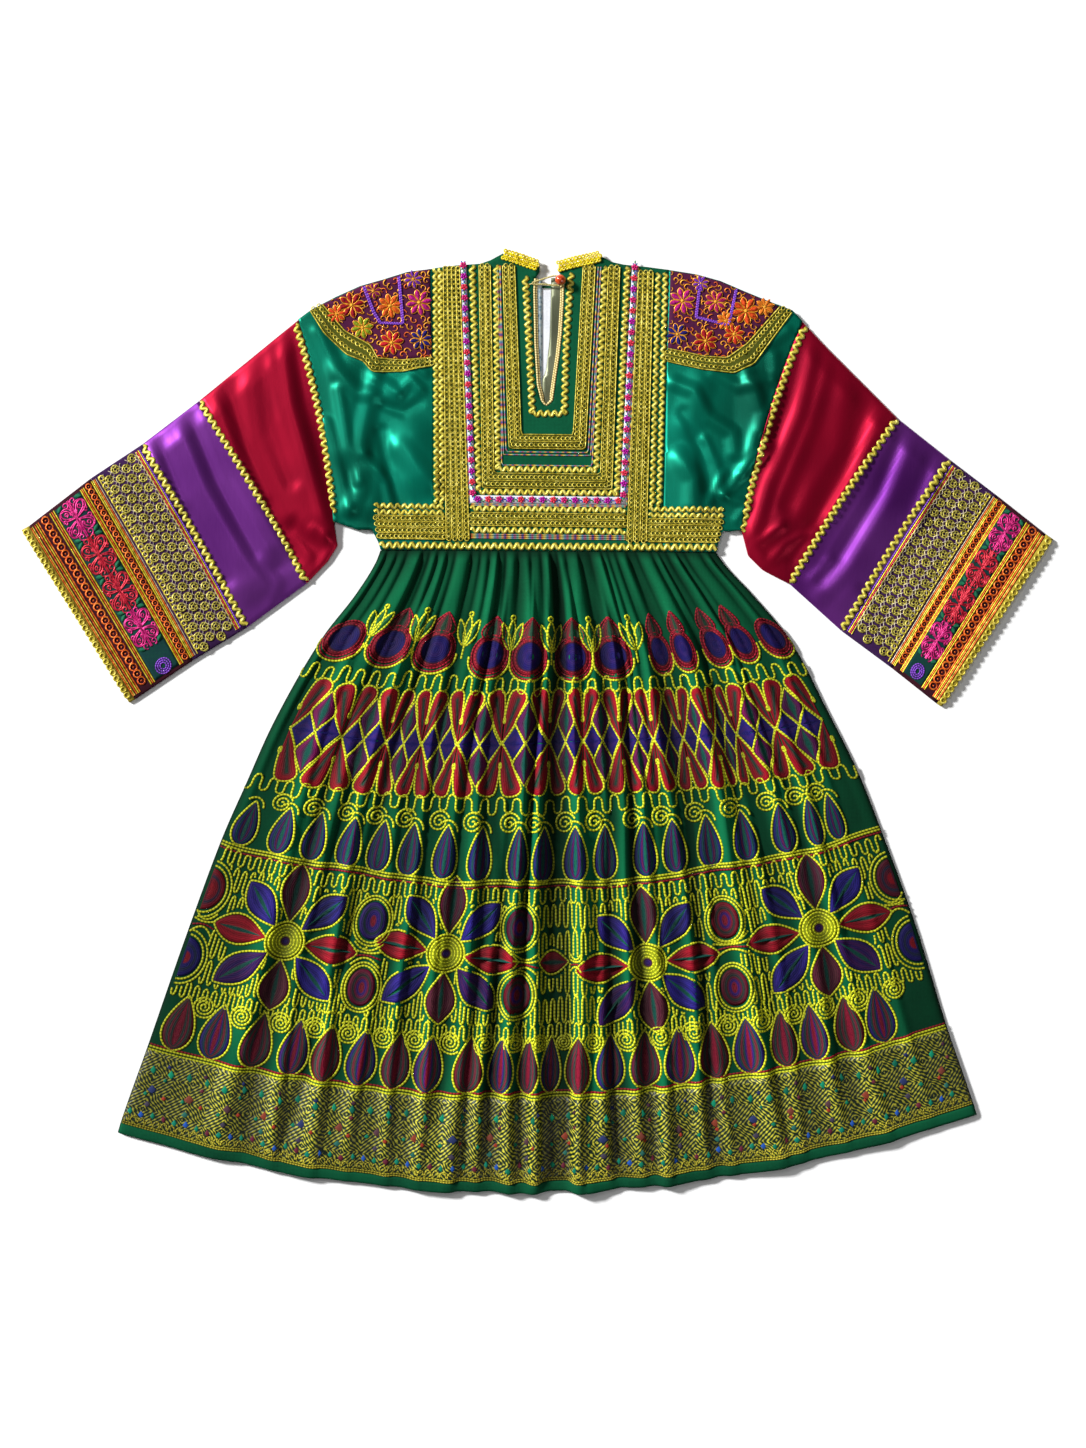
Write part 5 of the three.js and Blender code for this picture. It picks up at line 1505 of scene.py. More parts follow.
lozenge_unit = unit_mesh("lozenge", *dome(1.0, 0.8, 4))
spots, sizes, colours = [], [], []
for depth, gap, wide, tall, palette in (
    (17, 44, 3.4, 3.4, ["#1C2450", "#3A2030"]), (25, 22, 4.4, 6.2, ["#0A6A4E", "#0C7A5A", "#0A5A46"]),
    (35, 44, 3.2, 3.2, ["#0A5A46", "#5A2430"]),
    (50, 44, 6.4, 6.4, ["#26305A", "#6A3428", "#4A3038", "#7A3424"]),
    (57, 22, 3.4, 3.4, ["#0C6A4E", "#8A2E1E"]),
    (70, 44, 4.6, 4.6, ["#3A3444", "#245A50"]),
    (84, 13.2, 3.8, 5.0, ["#0B705A", "#1E4A9A", "#0A6A50", "#5A1E2E"]),
):
    count = int(1010 / gap)
    for k in range(count):
        share = (k + 0.5 + 0.25 * (int(depth) % 2)) / count
        if share < 0.99:
            spots.append(on_skirt(share, BAND_TOP + depth + 1.2 * math.sin(k * 2.1), 0.95))
            sizes.append((wide * (1 + 0.12 * math.sin(k * 1.7)), tall, 1.0))
            colours.append(palette[k % len(palette)])
set_copies("woven_lozenges", spots, np.zeros(len(spots)), sizes, lozenge_unit, trim_filling,
           colours=colours)
# the gold edge gets painted shade where it lies low in a fold
gold_stitch = chain_stitch("gold_thread_edge", "#3A3408", "#8E8420", "#C8BC3C", 0.0034, folds=True)
t = np.linspace(0, math.pi, 7)
arches = [on_skirt((k + 0.5) / 112.5 + 3.8 / 1015 * np.cos(t), BAND_TOP + 95.5 - 7 * np.sin(t), 1.0)
          for k in range(112)]
arches += [on_skirt(np.linspace(0.002, 0.998, 340), BAND_TOP + below, 1.0) for below in (98.5, 101)]
lay_threads("hem_edge_arches", arches, 1.6, 1.2, gold_stitch)
print("hem:", MADE["brocade_hem_band"], MADE["woven_lozenges"], MADE["hem_edge_arches"])

# %% [markdown]
# ## Braids, rickrack and ribbon of the bodice
# Frames of trim run down one side of the neck, across below the slit and up the other side. Gold braid is
# made of rows of metallic loops on a dark band; rickrack is a flat woven zigzag, drawn as a thread that
# swings from side to side every 8.4 mm; the white ribbon has small woven flowers. All lie on the bodice.

# %% Tables of the trims
FRAME_TOP = 548.6
FRAMES = {
    "flower_ribbon": ((-80, -91.5), (106.5, 120.6), 263.4, 6.6, 9),
    "rickrack_outer": ((-72.8, -81), (99.4, 112), 273.4, 7, 7),
    "braid_outer": ((-65.2, -69.6), (90, 99.6), 281.2, 14, 18.4),
    "rickrack_inner": ((-50.6, -52), (74.6, 85), 300.6, 7, 7),
    "braid_inner": ((-33.6, -41.4), (58.2, 70.2), 328.8, 15, 17.4),
}
STRAIGHT = {
    "braid_wide_left": ((-109.2, -112.6), (-80.6, -92.2), 219, 545),
    "braid_wide_right": ((107.4, 121.4), (131.6, 139.6), 219, 543),
    "rickrack_pair_left": ((-122.6, -123.8), (-110.8, -113.4), 261.2, 544),
    "rickrack_pair_right": ((135, 142.4), (149.5, 157), 261.2, 542.5),
    "waist_pair_left": ((-195, -195), (-110.8, -110.8), 248, 260.6),
    "waist_pair_right": ((133.4, 133.4), (224, 224), 248, 260.6),
    "waist_braid_left": ((-189.6, -195), (-109.8, -109.8), 218.6, 247.4),
    "waist_braid_right": ((132.8, 132.8), (216, 223), 218.6, 247.4),
    "waist_braid_centre": ((-80, -80), (106.8, 106.8), 236, 252),
    "waist_rickrack_upper": ((-80, -80), (106.8, 106.8), 252.8, 260.4),
    "waist_rickrack_lower": ((-80, -80), (106.8, 106.8), 227, 234.6),
}


def tilted(points):
    """The trims run downhill to the right a little, as the bodice does."""
    return [(x, y - 0.012 * (x - 13)) for x, y in points]


def frame_outline(left, right, bottom, width, height):
    return tilted([(left[1], FRAME_TOP), (left[0], bottom), (right[0], bottom), (right[1], FRAME_TOP),
                   (right[1] - width, FRAME_TOP), (right[0] - width, bottom + height),
                   (left[0] + width, bottom + height), (left[1] + width, FRAME_TOP)])


def frame_path(left, right, bottom, width, height, share=0.5):
    """A line down, across and up inside a frame, at a share of the way in from its outer edge."""
    w, h = width * share, height * share
    return tilted([(left[1] + w, FRAME_TOP - 1), (left[0] + w, bottom + h), (right[0] - w, bottom + h),
                   (right[1] - w, FRAME_TOP - 1)])


def band_outline(left, right, bottom, top):
    return tilted([(left[0], bottom), (right[0], bottom), (right[1], top), (left[1], top)])


def band_path(left, right, bottom, top, share, upright):
    if upright:
        return tilted([(mix(left[0], right[0], share), bottom + 1), (mix(left[1], right[1], share), top - 1)])
    level = mix(bottom, top, share)
    return tilted([(mix(left[0], left[1], share) + 1, level), (mix(right[0], right[1], share) - 1, level)])


def evenly(path, step):
    """A path in even steps, and how far along it each point is."""
    path = np.asarray(path, float)
    lengths = np.concatenate([[0], np.cumsum(np.hypot(*np.diff(path[:, :2], axis=0).T))])
    at = np.linspace(0, lengths[-1], max(2, int(round(lengths[-1] / step)) + 1))
    return np.column_stack([np.interp(at, lengths, path[:, i]) for i in range(path.shape[1])]), at


def line_length(path):
    return float(np.hypot(*np.diff(np.asarray(path, float), axis=0).T).sum())


def headings(points):
    """The direction of a line at each of its points."""
    ahead = np.gradient(points[:, 0]), np.gradient(points[:, 1])
    return np.arctan2(ahead[1], ahead[0])


def wavy(path, swing, period, lift):
    """A rickrack line: the path, swung from side to side, on the bodice unless it has heights of its own."""
    points, at = evenly(path, period / 7)
    angle = headings(points)
    side = swing * np.sin(2 * np.pi * at / period)
    x, y = points[:, 0] - side * np.sin(angle), points[:, 1] + side * np.cos(angle)
    if points.shape[1] == 3:
        return np.column_stack([x, y, points[:, 2] + lift])
    return on_body(x, y, lift)


print("trims in the tables:", len(FRAMES) + len(STRAIGHT))

# %% Gold yarn


def metal_yarn(name, dark, main, light):
    """Metal foil or silk wound round a core: small bright glints on a rough twist."""
    finish, tree, shader = start_finish(name, Roughness=0.42, Metallic=0.45, Specular_IOR_Level=0.5)
    place = object_place(tree)
    colour = colours_along(tree, noise(tree, place, 260.0, 2.0), [(0.32, dark), (0.5, main), (0.7, light)])
    dress(tree, shader, colour, noise(tree, place, 900.0, 1.0), 0.3, 0.0003)
    return finish


# bright gold loops on a dark band, whose darkness is partly the band's own colour and partly painted shadow
# round every loop; rickrack is paler and smoother
gold_yarn = metal_yarn("metal_wrapped_gold_yarn", "#8E8020", "#CCBA38", "#F0E274")
rickrack_yarn = metal_yarn("woven_gold_rickrack", "#AC9C2E", "#D8C848", "#F0E680")
braid_ground_and_painted_shadow = woven_cotton("dark_braid_ground_and_painted_shadow", "#4E5218", "#222C10", 0.0012)
LOOP_STEP = 5.4
LOOP_PLACES, LOOP_TURNS = [], []


def loops_along(path):
    """Remember a place and a turn for a braid loop at every step of a path on the bodice."""
    points, at = evenly(path, LOOP_STEP)
    LOOP_PLACES.extend(on_body(points[:, 0], points[:, 1], 1.0).tolist())
    LOOP_TURNS.extend((headings(points) + 0.15 * np.sin(at)).tolist())


def braid(name, outline, paths):
    """A dark band with rows of loops; its cut is found from its area and its outline."""
    base = sheet_from_outline(name, outline, 6.0, 1.0, 0.8, braid_ground_and_painted_shadow, "gold_braid",
                              [name.replace("band_", "")])
    around_it = line_length(outline + outline[:1]) / 2
    cloth = sum(face.area for face in base.data.polygons) / 2 * 1e6
    wide = max(10.5, cloth / around_it)
    cut_as(base, wide, cloth / wide * 1.02)
    for path in paths:
        loops_along(path)


edge_threads = []
for name in ("braid_outer", "braid_inner"):
    item = FRAMES[name]
    braid("band_" + name, frame_outline(*item), [frame_path(*item, share) for share in (0.27, 0.73)])
    edge_threads += [frame_path(*item, share) for share in (0.02, 0.5, 0.98)]
for name, rows, upright in (("braid_wide_left", 4, True), ("braid_wide_right", 3, True),
                            ("waist_braid_left", 4, False), ("waist_braid_right", 4, False),
                            ("waist_braid_centre", 2, False)):
    item = STRAIGHT[name]
    shares = [(k + 0.5) / rows for k in range(rows)]
    braid("band_" + name, band_outline(*item), [band_path(*item, share, upright) for share in shares])
    edge_threads += [band_path(*item, share, upright) for share in np.linspace(0.02, 0.98, rows + 1)]
edge_threads = [on_body(*evenly(path, 6)[0].T, 1.5) for path in edge_threads]
lay_threads("braid_edge_threads", edge_threads, 1.5, 1.2, gold_yarn, sides=4)
print("braid loops on the bodice:", len(LOOP_PLACES))

# %% Rickrack of the bodice
def rickrack(name, lines, width, height, node=None):
    lay_threads("wave_" + name, lines, width, height, rickrack_yarn, [node or name])


for name in ("rickrack_outer", "rickrack_inner"):
    rickrack(name, [wavy(frame_path(*FRAMES[name]), 2.5, 8.4, 0.8)], 4.4, 1.1)
for name, upright in (("rickrack_pair_left", True), ("rickrack_pair_right", True), ("waist_pair_left", False),
                      ("waist_pair_right", False)):
    rickrack(name, [wavy(band_path(*STRAIGHT[name], share, upright), 2.1, 8.4, 0.8) for share in (0.22, 0.8)],
             4.2, 1.8)
for name in ("waist_rickrack_upper", "waist_rickrack_lower"):
    rickrack(name, [wavy(band_path(*STRAIGHT[name], 0.5, False), 2.5, 8.4, 0.8)], 4.4, 1.1)
slit_path = [(-13.9, 535), (-9.5, 455), (-5.5, 371), (32.8, 371), (35.2, 455), (40.9, 539)]
rickrack("slit_rickrack", [wavy(slit_path, 2.7, 8.6, 0.8)], 4.4, 1.1)
rickrack("waist_rickrack", [wavy([(-187.6, 213.4), (215, 210.6)], 2.9, 9.0, 1.0)], 4.7, 1.2)
print("rickrack:", {k: v for k, v in MADE.items() if k.startswith("wave_")})

# %% Coloured cords and the flowered ribbon


def twisted_colours(name, step=0.021):
    """Cord twisted from threads of several colours, so it changes every few millimetres."""
    finish, tree, shader = start_finish(name, Roughness=0.6, Specular_IOR_Level=0.2)
    part = calc(tree, "FRACT", calc(tree, "MULTIPLY", stored(tree, "along"), 1 / step))
    stops = [(0.0, "#B8362E"), (0.18, "#D8C45A"), (0.36, "#3A86A8"), (0.5, "#B04A70"), (0.66, "#48A890"),
             (0.8, "#D8924A"), (0.92, "#5A4A8E")]
    dress(tree, shader, colours_along(tree, part, stops))
    return finish


many_colours = twisted_colours("many_coloured_twisted_cord")
cords = [frame_path(*FRAMES["braid_inner"], share) for share in (-0.22, -0.42)]
cords += [frame_path(*FRAMES["rickrack_inner"], 1.2), frame_path(*FRAMES["flower_ribbon"], -0.16)]
cords += [tilted([(-79, level), (106, level)]) for level in (262.2, 260.4, 225.6, 223.4, 221.4)]
lay_threads("twisted_cords", [on_body(*evenly(path, 5)[0].T, 0.6) for path in cords], 1.5, 1.4, many_colours)
ribbon_satin = woven_satin("woven_white_ribbon", "#B8B4C4", "#DCD8E2", "#F2F0F4", 0.0)
ribbon = sheet_from_outline("white_flower_ribbon", frame_outline(*FRAMES["flower_ribbon"]), 5.0, 1.1, 0.8,
                            ribbon_satin, "flower_ribbon", ["flower_ribbon"])
cut_as(ribbon, 10.5, 770)
five_petals = joined(*[moved(dome(1.15, 0.9, 5), 1.35 * math.cos(a), 1.35 * math.sin(a))
                       for a in np.linspace(0, 2 * math.pi, 5, endpoint=False)], dome(0.8, 1.3, 5))
petals_unit = unit_mesh("five_petals", *five_petals)
leaf_unit = unit_mesh("small_leaf", *dome(1.9, 0.8, 6, 0.42))
path, at = evenly(frame_path(*FRAMES["flower_ribbon"]), 13.0)
placed, angle = on_body(path[:, 0], path[:, 1], 1.2), headings(path)
set_copies("ribbon_flowers", placed, angle, 1.9 * np.ones(len(placed)), petals_unit,
           trim_filling,
           colours=[("#C82A6E", "#B0209A", "#D83A50")[k % 3] for k in range(len(placed))])
leaves, turns, tones = [], [], []
for k, (p, a) in enumerate(zip(path, angle)):
    for slide, out, lean in ((3.6, 1.6, 0.6), (3.6, -1.6, -0.6), (-3.6, 1.4, -0.6),
                             (-3.6, -1.4, 0.6), (6.5, 0, 0)):
        x = p[0] + slide * math.cos(a) - out * math.sin(a)
        y = p[1] + slide * math.sin(a) + out * math.cos(a)
        leaves.append(on_body(x, y, 1.15))
        turns.append(a + lean)
        tones.append(("#1E8A5A", "#2A5AB0", "#2A7A3A", "#7A3A9A", "#2048A0")[(k + len(leaves)) % 5])
set_copies("ribbon_leaves", leaves, turns, 1.25 * np.ones(len(leaves)), leaf_unit,
           trim_filling,
           colours=tones)
print("ribbon flowers:", len(placed))

# %% [markdown]
# ## Shoulder patches
# A piece of older embroidery is set into each shoulder: eight-pointed stars in red, pink, purple and orange
# on plum cloth, each outlined in amber, among small amber and orange curls with a violet band through them.
# Its lower edge is covered with gold braid. The curls, outlines and band are cut off at the patch's outline.

# %% Shoulder patches
PATCHES = {
    "left": {
        "upper": [(-128, 544.5), (-155, 540), (-184, 531), (-212, 523), (-240, 510), (-257, 502)],
        "lower": [(-257, 502), (-230, 470), (-199, 453), (-191, 437.5), (-160, 435), (-126, 438.5)],
        "border": [(-271.5, 494.5), (-255, 468), (-228, 442), (-208, 434), (-197, 421),
                   (-160, 422), (-126, 429)],
        "stars": [(-222, 501, 14, RED), (-141, 504, 14, "#B0187A"), (-174, 456, 13, "#B81C28"),
                  (-139, 460, 12, NAVY),
                  (-209, 474, 12, "#8A9A1E"), (-148, 532, 10, "#6A2A9A"), (-176, 500, 13, "#D0561A"),
                  (-196, 518, 9, MAGENTA), (-240, 490, 10, "#C8401A")],
        "violet": [(-208, 523), (-196, 492), (-188, 479), (-161, 478), (-166, 535)],
    },
    "right": {
        "upper": [(160, 542), (191, 537), (220, 529), (248, 517), (277, 505), (291, 499)],
        "lower": [(291, 499), (252, 455), (228, 438), (202, 439.5), (156.6, 449)],
        "border": [(305, 492), (260, 431), (236, 420), (199, 424), (156.2, 434)],
        "stars": [(174, 506, 14, "#B0187A"), (168, 466, 12, NAVY), (202, 458, 13, RED),
                  (250, 494, 15, "#D0481A"),
                  (273, 499, 10, "#C86A1A"), (214, 505, 12, "#A81A5A"), (236, 466, 11, "#B82A1A"),
                  (196, 527, 9, "#6A2A9A"), (226, 482, 10, "#D0641A")],
        "violet": [(196, 536), (190, 486), (229, 476), (238, 519)],
    },
}
# matt plum cloth under silk threads, which look brighter than they are beside it
plum_cloth = woven_cotton("plum_patch_cloth", "#4E1A3A", "#2A1030")
amber = metal_yarn("amber_couched_silk", "#B06410", "#E8961E", "#F8BE48")
orange_stitch = metal_yarn("orange_silk_loops", "#A8380C", "#E4661A", "#F89A40")
violet_thread = chain_stitch("violet_couched_thread", "#2A1050", "#6A30A8", "#9058D0", 0.003)
patch_fills, amber_lines, orange_lines, violet_lines = [], [], [], []


def on_spot(cx, cy):
    return lambda shape: np.column_stack([cx + shape[:, 0], cy + shape[:, 1]])


def cut_to(outline, line, step=3.0):
    """The runs of a plan line that lie inside an outline."""
    points, _ = evenly(line, step)
    return runs_inside(points, inside_outline(points[:, 0], points[:, 1], np.asarray(outline, float)), 3)


for side, item in PATCHES.items():
    edge = item["upper"] + item["lower"][1:]
    patch = sheet_from_outline(f"patch_{side}", edge, 5.0, 0.8, 0.8, plum_cloth, "patch_embroidery",
                               [f"shoulder_patch_{side}"])
    cut_as(patch, 136, 108)
    lowered = [(x, y - 0.3) for x, y in item["lower"]][::-1]
    braid(f"band_patch_braid_{side}", item["border"] + lowered, [])
    outer, _ = evenly(item["border"], 6.0)
    inner_all, _ = evenly(item["lower"], 6.0)
    inner = np.column_stack([np.interp(np.linspace(0, 1, len(outer)), np.linspace(0, 1, len(inner_all)),
                                       inner_all[:, i]) for i in (0, 1)])
    for share in (0.27, 0.73):
        loops_along(mix(outer, inner, share))
    cx = np.mean([p[0] for p in edge])
    for k in range(-10, 11):
        for level in range(430, 546, 9):
            x, y = cx + 9.5 * k + 4.7 * ((level // 9) % 2), level + 2.5 * math.sin(3 * k + level)
            if min(math.hypot(x - s[0], y - s[1]) - s[2] for s in item["stars"]) > 1.5:
                t = np.linspace(0, 1, 12)
                turn, radius = 2.3 * k + 0.7 * level + 5.2 * t, 4.9 * (1 - 0.8 * t)
                curls = amber_lines if (k + level // 9) % 3 else orange_lines
                curl = np.column_stack([x + radius * np.cos(turn), y + radius * np.sin(turn)])
                curls += cut_to(edge, curl, 1.5)
    for turn in (0, 2.4):
        violet_lines += cut_to(edge, [(x + turn * 0.7, y + turn * 0.4) for x, y in item["violet"]])
    for x, y, size, code in item["stars"]:
        spot = on_spot(x, y)
        for k in range(8):
            angle = k * math.pi / 4 + 0.2
            ray = np.array([math.cos(angle), math.sin(angle)])
            shape, spine = leaf(ray * size * 0.12, ray * size * 1.12, size * 0.21,
                                count=7, fat=0.62, pointed=1)
            fill_shape(patch_fills, spot, shape, spine, [(0, code), (0.4, code)])
            amber_lines += cut_to(edge, spot(closed(mix(spine, shape, 1.25))), 1.5)
        fill_shape(patch_fills, spot, oval(size * 0.2, size * 0.2, 10), oval(0.1, 0.1, 10),
                   [(0, "#E08A20"), (0.5, "#F0B038")])
build_fills("patch_stars", patch_fills, lambda x, y, lift: on_body(x, y, 1.3 + lift), trim_filling,
            "patch_embroidery")
for name, source, lift, width, finish, sides in (
    ("amber_lines", amber_lines, 1.3, 1.7, amber, 3),
    ("orange_lines", orange_lines, 1.3, 1.7, orange_stitch, 3),
    ("violet_band", violet_lines, 1.7, 2.4, violet_thread, 4),
):
    lay_threads(f"patch_{name}", [on_body(line[:, 0], line[:, 1], lift) for line in source],
                width, 1.4, finish,
                sides=sides)
border_threads = [on_body(*evenly(item[line], 5)[0].T, lift) for item in PATCHES.values()
                  for line, lift in (("border", 1.4), ("lower", 1.6))]
lay_threads("patch_border_threads", border_threads, 1.8, 1.4, gold_yarn)
print("patch stars:", len(patch_fills))

# %% [markdown]
# ## Lace, cuffs and edging
# Below the violet satin each sleeve has gold lace, round rosettes in a net over dark cloth, then the cuff:
# strips of orange rings, a wide band of paired scrolls in magenta and red, more rings, and a scalloped edge.
# Places on a sleeve are kept as millimetres along it and across it, so a motif is drawn flat here too.

# %% Lace and cuffs
# dark cloths, so that the stitching over them stands out
lace_ground = woven_cotton("dark_violet_lace_ground", "#3A1E4A", "#1E0E2A")
cuff_ground = woven_cotton("dark_cuff_ground", "#3A1420", "#1E0A14")
navy_ground = woven_cotton("navy_green_cuff_ground", "#123A34", "#141A3A")
edging_ground = woven_cotton("olive_gold_edging", "#A89636", "#6A5E1E")
# threads: old gold for the lace, clear colours for the cuff
lace_yarn = metal_yarn("gold_lace_thread", "#7A6E24", "#B0A43E", "#DCD070")
cream_thread = metal_yarn("cream_net_thread", "#9A8C78", "#C8BAA0", "#E4DAC4")
cuff_yellow = metal_yarn("yellow_silk_thread", "#B09A10", "#DCC828", "#F4E658")
magenta_thread = metal_yarn("magenta_chain_stitch", "#8A0E54", "#C81A74", "#E84A9A")
cuff_red = metal_yarn("crimson_chain_stitch", "#8A0A20", "#BE1A34", "#DC4050")
LACE, CUFF, EDGING = 4, 5, 6  # the sleeve section where each one starts
SPAN = {LACE: 74.5, CUFF: 88.5, EDGING: 10.0}  # their lengths in mm
# straight threads: mm from the start of the lace or cuff, and colour
LACE_LINES = [(6.2, "violet"), (8.2, "yellow"), (10.2, "red"), (12.2, "gold"), (66.0, "gold"),
              (69.5, "cream"),
              (71.5, "orange"), (73.4, "gold")]
CUFF_LINES = [(1.0, "yellow"), (12.6, "yellow"), (14.8, "orange"), (16.8, "yellow"), (55.5, "yellow"),
              (58.0, "orange"), (60.6, "yellow"), (77.5, "orange"), (80.0, "yellow"), (82.5, "orange"),
              (85.5, "gold"), (87.4, "orange")]
SCROLL_THREADS = ["magenta", "red", "red", "magenta"]
# small curls round a scroll: mm across and down from its middle, and radius
CURLS = ((5.5, 21.5, 4.4), (9.5, 11.5, 3.0), (14.5, 4.5, 3.2), (3.6, 8.5, 2.4))
LEAF_GREEN = [(0, "#14503A"), (0.4, "#1E6A4A"), (0.9, "#1E6A4A")]


def sleeve_spot(side, piece, along, across):
    """From mm round a place on a sleeve to its section number and share across."""
    width = row_width(SLEEVES[side][piece])
    return lambda shape: np.column_stack([piece + (along + shape[:, 0]) / SPAN[piece],
                                          (across + shape[:, 1]) / width])


def sleeve_line(side, piece, along):
    width = row_width(SLEEVES[side][piece])
    return on_sleeve(side, np.full(70, piece + along / SPAN[piece]), np.linspace(4, width - 4, 70) / width)


def places_across(side, piece, along, first, step, margin=8):
    """Even places across a sleeve, for rings and scallops."""
    width = row_width(SLEEVES[side][LACE])
    return [(side, piece + along / SPAN[piece], (first + step * n) / width)
            for n in range(int((width - margin) / step))]


def cuff_line(colour, side, spot, shape, lift=0.3):
    placed = spot(shape)
    lines[colour].append(on_sleeve(side, placed[:, 0], placed[:, 1], lift))


ring_of_five = [(math.cos(a), math.sin(a)) for a in np.linspace(0, 2 * math.pi, 5, endpoint=False)]
rosette = unit_mesh("lace_rosette", *joined(tube_ring(4.9, 1.1, 10, 3), tube_ring(2.3, 0.9, 7, 3),
                                            *[moved(dome(1.3, 0.9, 4), 3.6 * c, 3.6 * s)
                                              for c, s in ring_of_five]))
cuff_ring = unit_mesh("cuff_ring", *joined(tube_ring(3.4, 1.0, 9, 3), dome(1.0, 0.9, 4)))
scallop = unit_mesh("edge_scallop", *tube_ring(3.2, 1.2, 10, 4))
lines = {name: [] for name in ("yellow", "orange", "cream", "gold", "magenta", "red", "violet")}
rosettes, rings_small, rings_large, scallops = [], [], [], []
cuff_fills = {"left": [], "right": []}
for side in SLEEVES:
    width = row_width(SLEEVES[side][LACE])
    sleeve_stripe(side, "lace", 4.003, 4.997, 12, 44, lace_ground, "gold_lace")
    sleeve_stripe(side, "cuff", 5.003, 5.997, 12, 44, cuff_ground, "cuff_embroidery")
    sleeve_stripe(side, "edging", 6.02, 6.98, 4, 44, edging_ground, "cuff_edging")
    for piece, table in ((LACE, LACE_LINES), (CUFF, CUFF_LINES)):
        for along, colour in table:
            lines[colour].append(sleeve_line(side, piece, along))
    for k in range(4):
        for n in range(20):
            across = 8 + 13.6 * n + 6.8 * (k % 2)
            if across < width - 6:
                rosettes.append((side, LACE + (19.5 + 12.0 * k) / SPAN[LACE], across / width))
    n = np.arange(int((width - 8) / 6.8))
    for k in range(-1, 4):
        for hand in (1, -1):
            along = 19.5 + 12.0 * k + 6.0 + hand * 2.6 * (-1.0) ** n
            lines["cream"].append(on_sleeve(side, LACE + along / SPAN[LACE], (4.6 + 6.8 * n) / width))
    scallops += places_across(side, LACE, 63.0, 8, 10.6)
    rings_small += places_across(side, CUFF, 6.8, 7, 7.4)
    rings_large += places_across(side, CUFF, 69.0, 8, 9.6)
    scallops += places_across(side, EDGING, 6.4, 6, 8.2, 4)
    strip_n = np.linspace(CUFF + 18.0 / SPAN[CUFF], CUFF + 54.0 / SPAN[CUFF], 12)
    strip_top = on_sleeve(side, strip_n[:, None], np.linspace(5 / width, 1 - 5 / width, 60)[None, :], 0.35)
    scroll_band = sheet_from_grid(f"scroll_band_{side}", strip_top, 0.5, navy_ground, "cuff_embroidery")
    cut_as(scroll_band, width - 10, 37)
    for k, colour in enumerate(SCROLL_THREADS):
        spot = sleeve_spot(side, CUFF, 36.0, 30 + 51 * k)
        for up, hand in ((-1, -1), (-1, 1), (1, -1), (1, 1)):
            shape, spine = leaf((hand * 1.0, up * 1.5), (hand * 14.5, up * 17), 7.6, count=12, fat=0.66,
                                pointed=0.55)
            for size in (1.0, 0.6):
                cuff_line(colour, side, spot, closed(mix(spine, shape, size)))
            t = np.linspace(0, 1, 14)
            for across, down, size in CURLS:
                turn, radius = 1.6 - hand * up * 6.4 * t, size * (1 - 0.75 * t)
                cuff_line(colour, side, spot, np.column_stack([hand * across + radius * np.cos(turn),
                                                               up * down + radius * np.sin(turn)]))
            small, spine = leaf((hand * 9, up * 24.5), (hand * 17, up * 20), 3.0, count=7)
            fill_shape(cuff_fills[side], spot, small, spine, LEAF_GREEN)
        for hand in (-1, 1):
            stem = np.column_stack([np.full(14, hand * 0.9), np.linspace(-25, 25, 14)])
            cuff_line(colour, side, spot, stem)
    spot = sleeve_spot(side, CUFF, 36.0, width - 17)
    for k in range(3):
        cuff_line("violet", side, spot, closed(oval(10 - 3 * k, 9 - 2.5 * k, 18)), 0.4)
for side in SLEEVES:
    build_fills(f"cuff_scrolls_{side}", cuff_fills[side],
                lambda n, s, lift, side=side: on_sleeve(side, n, s, 0.45 + lift),
                trim_filling, "cuff_embroidery")
print("rosettes:", len(rosettes), "rings:", len(rings_small) + len(rings_large))

# %% Threads and copies on the sleeves


def places_on(items, lift):
    return np.array([on_sleeve(side, np.array([n]), np.array([s]), lift)[0] for side, n, s in items])


def slants(items):
    rows = [SLEEVES[side][int(n)] for side, n, _ in items]
    return np.array([math.atan2(row[3] - row[1], row[2] - row[0]) for row in rows])


for name, items, unit, size, finish, slot, lift in (
    ("lace_rosettes", rosettes, rosette, 1.0, lace_yarn, "gold_lace", 0.5),
    ("small_cuff_rings", rings_small, cuff_ring, 1.0, orange_stitch, "cuff_embroidery", 0.4),
    ("large_cuff_rings", rings_large, cuff_ring, 1.32, orange_stitch, "cuff_embroidery", 0.4),
    ("gold_scallops", scallops, scallop, 1.0, gold_yarn, "cuff_edging", 0.5),
):
    set_copies(name, places_on(items, lift), slants(items), np.full(len(items), size), unit, finish)
for side in SLEEVES:
    for name, number in (("armhole", 0.145), ("violet", 3.0), ("lace", 4.0)):
        path = on_sleeve(side, np.full(60, number), np.linspace(0.012, 0.988, 60))
        rickrack(f"{name}_{side}", [wavy(path, 2.9, 9.4, 0.8)], 4.8, 1.2, f"rickrack_{name}_{side}")
for name, finish, width in (("yellow", cuff_yellow, 1.8), ("orange", orange_stitch, 1.8),
                            ("cream", cream_thread, 1.1), ("gold", gold_yarn, 1.7),
                            ("magenta", magenta_thread, 2.1), ("red", cuff_red, 2.1),
                            ("violet", violet_thread, 1.8)):
    raised = [line + [0, 0, 0.4] for line in lines[name]]
    lay_threads(f"sleeve_{name}_threads", raised, width, 1.3, finish)
set_copies("gold_braid_loops", LOOP_PLACES, LOOP_TURNS, np.ones(len(LOOP_PLACES)), braid_loop, gold_yarn)
print("loops of gold braid:", len(LOOP_PLACES), "triangles so far:", sum(MADE.values()))

# %% [markdown]
# ## Neck opening, bead and collar
# The slit shows a white lining with a pale printed facing on the left and a grey satin one on the right, all
# edged with tan piping. A carnelian bead closes it: a twisted loop fixed on the left is slipped over it.
# The ends of the low collar are covered with yellow glass beads, each with a dark thread hole.

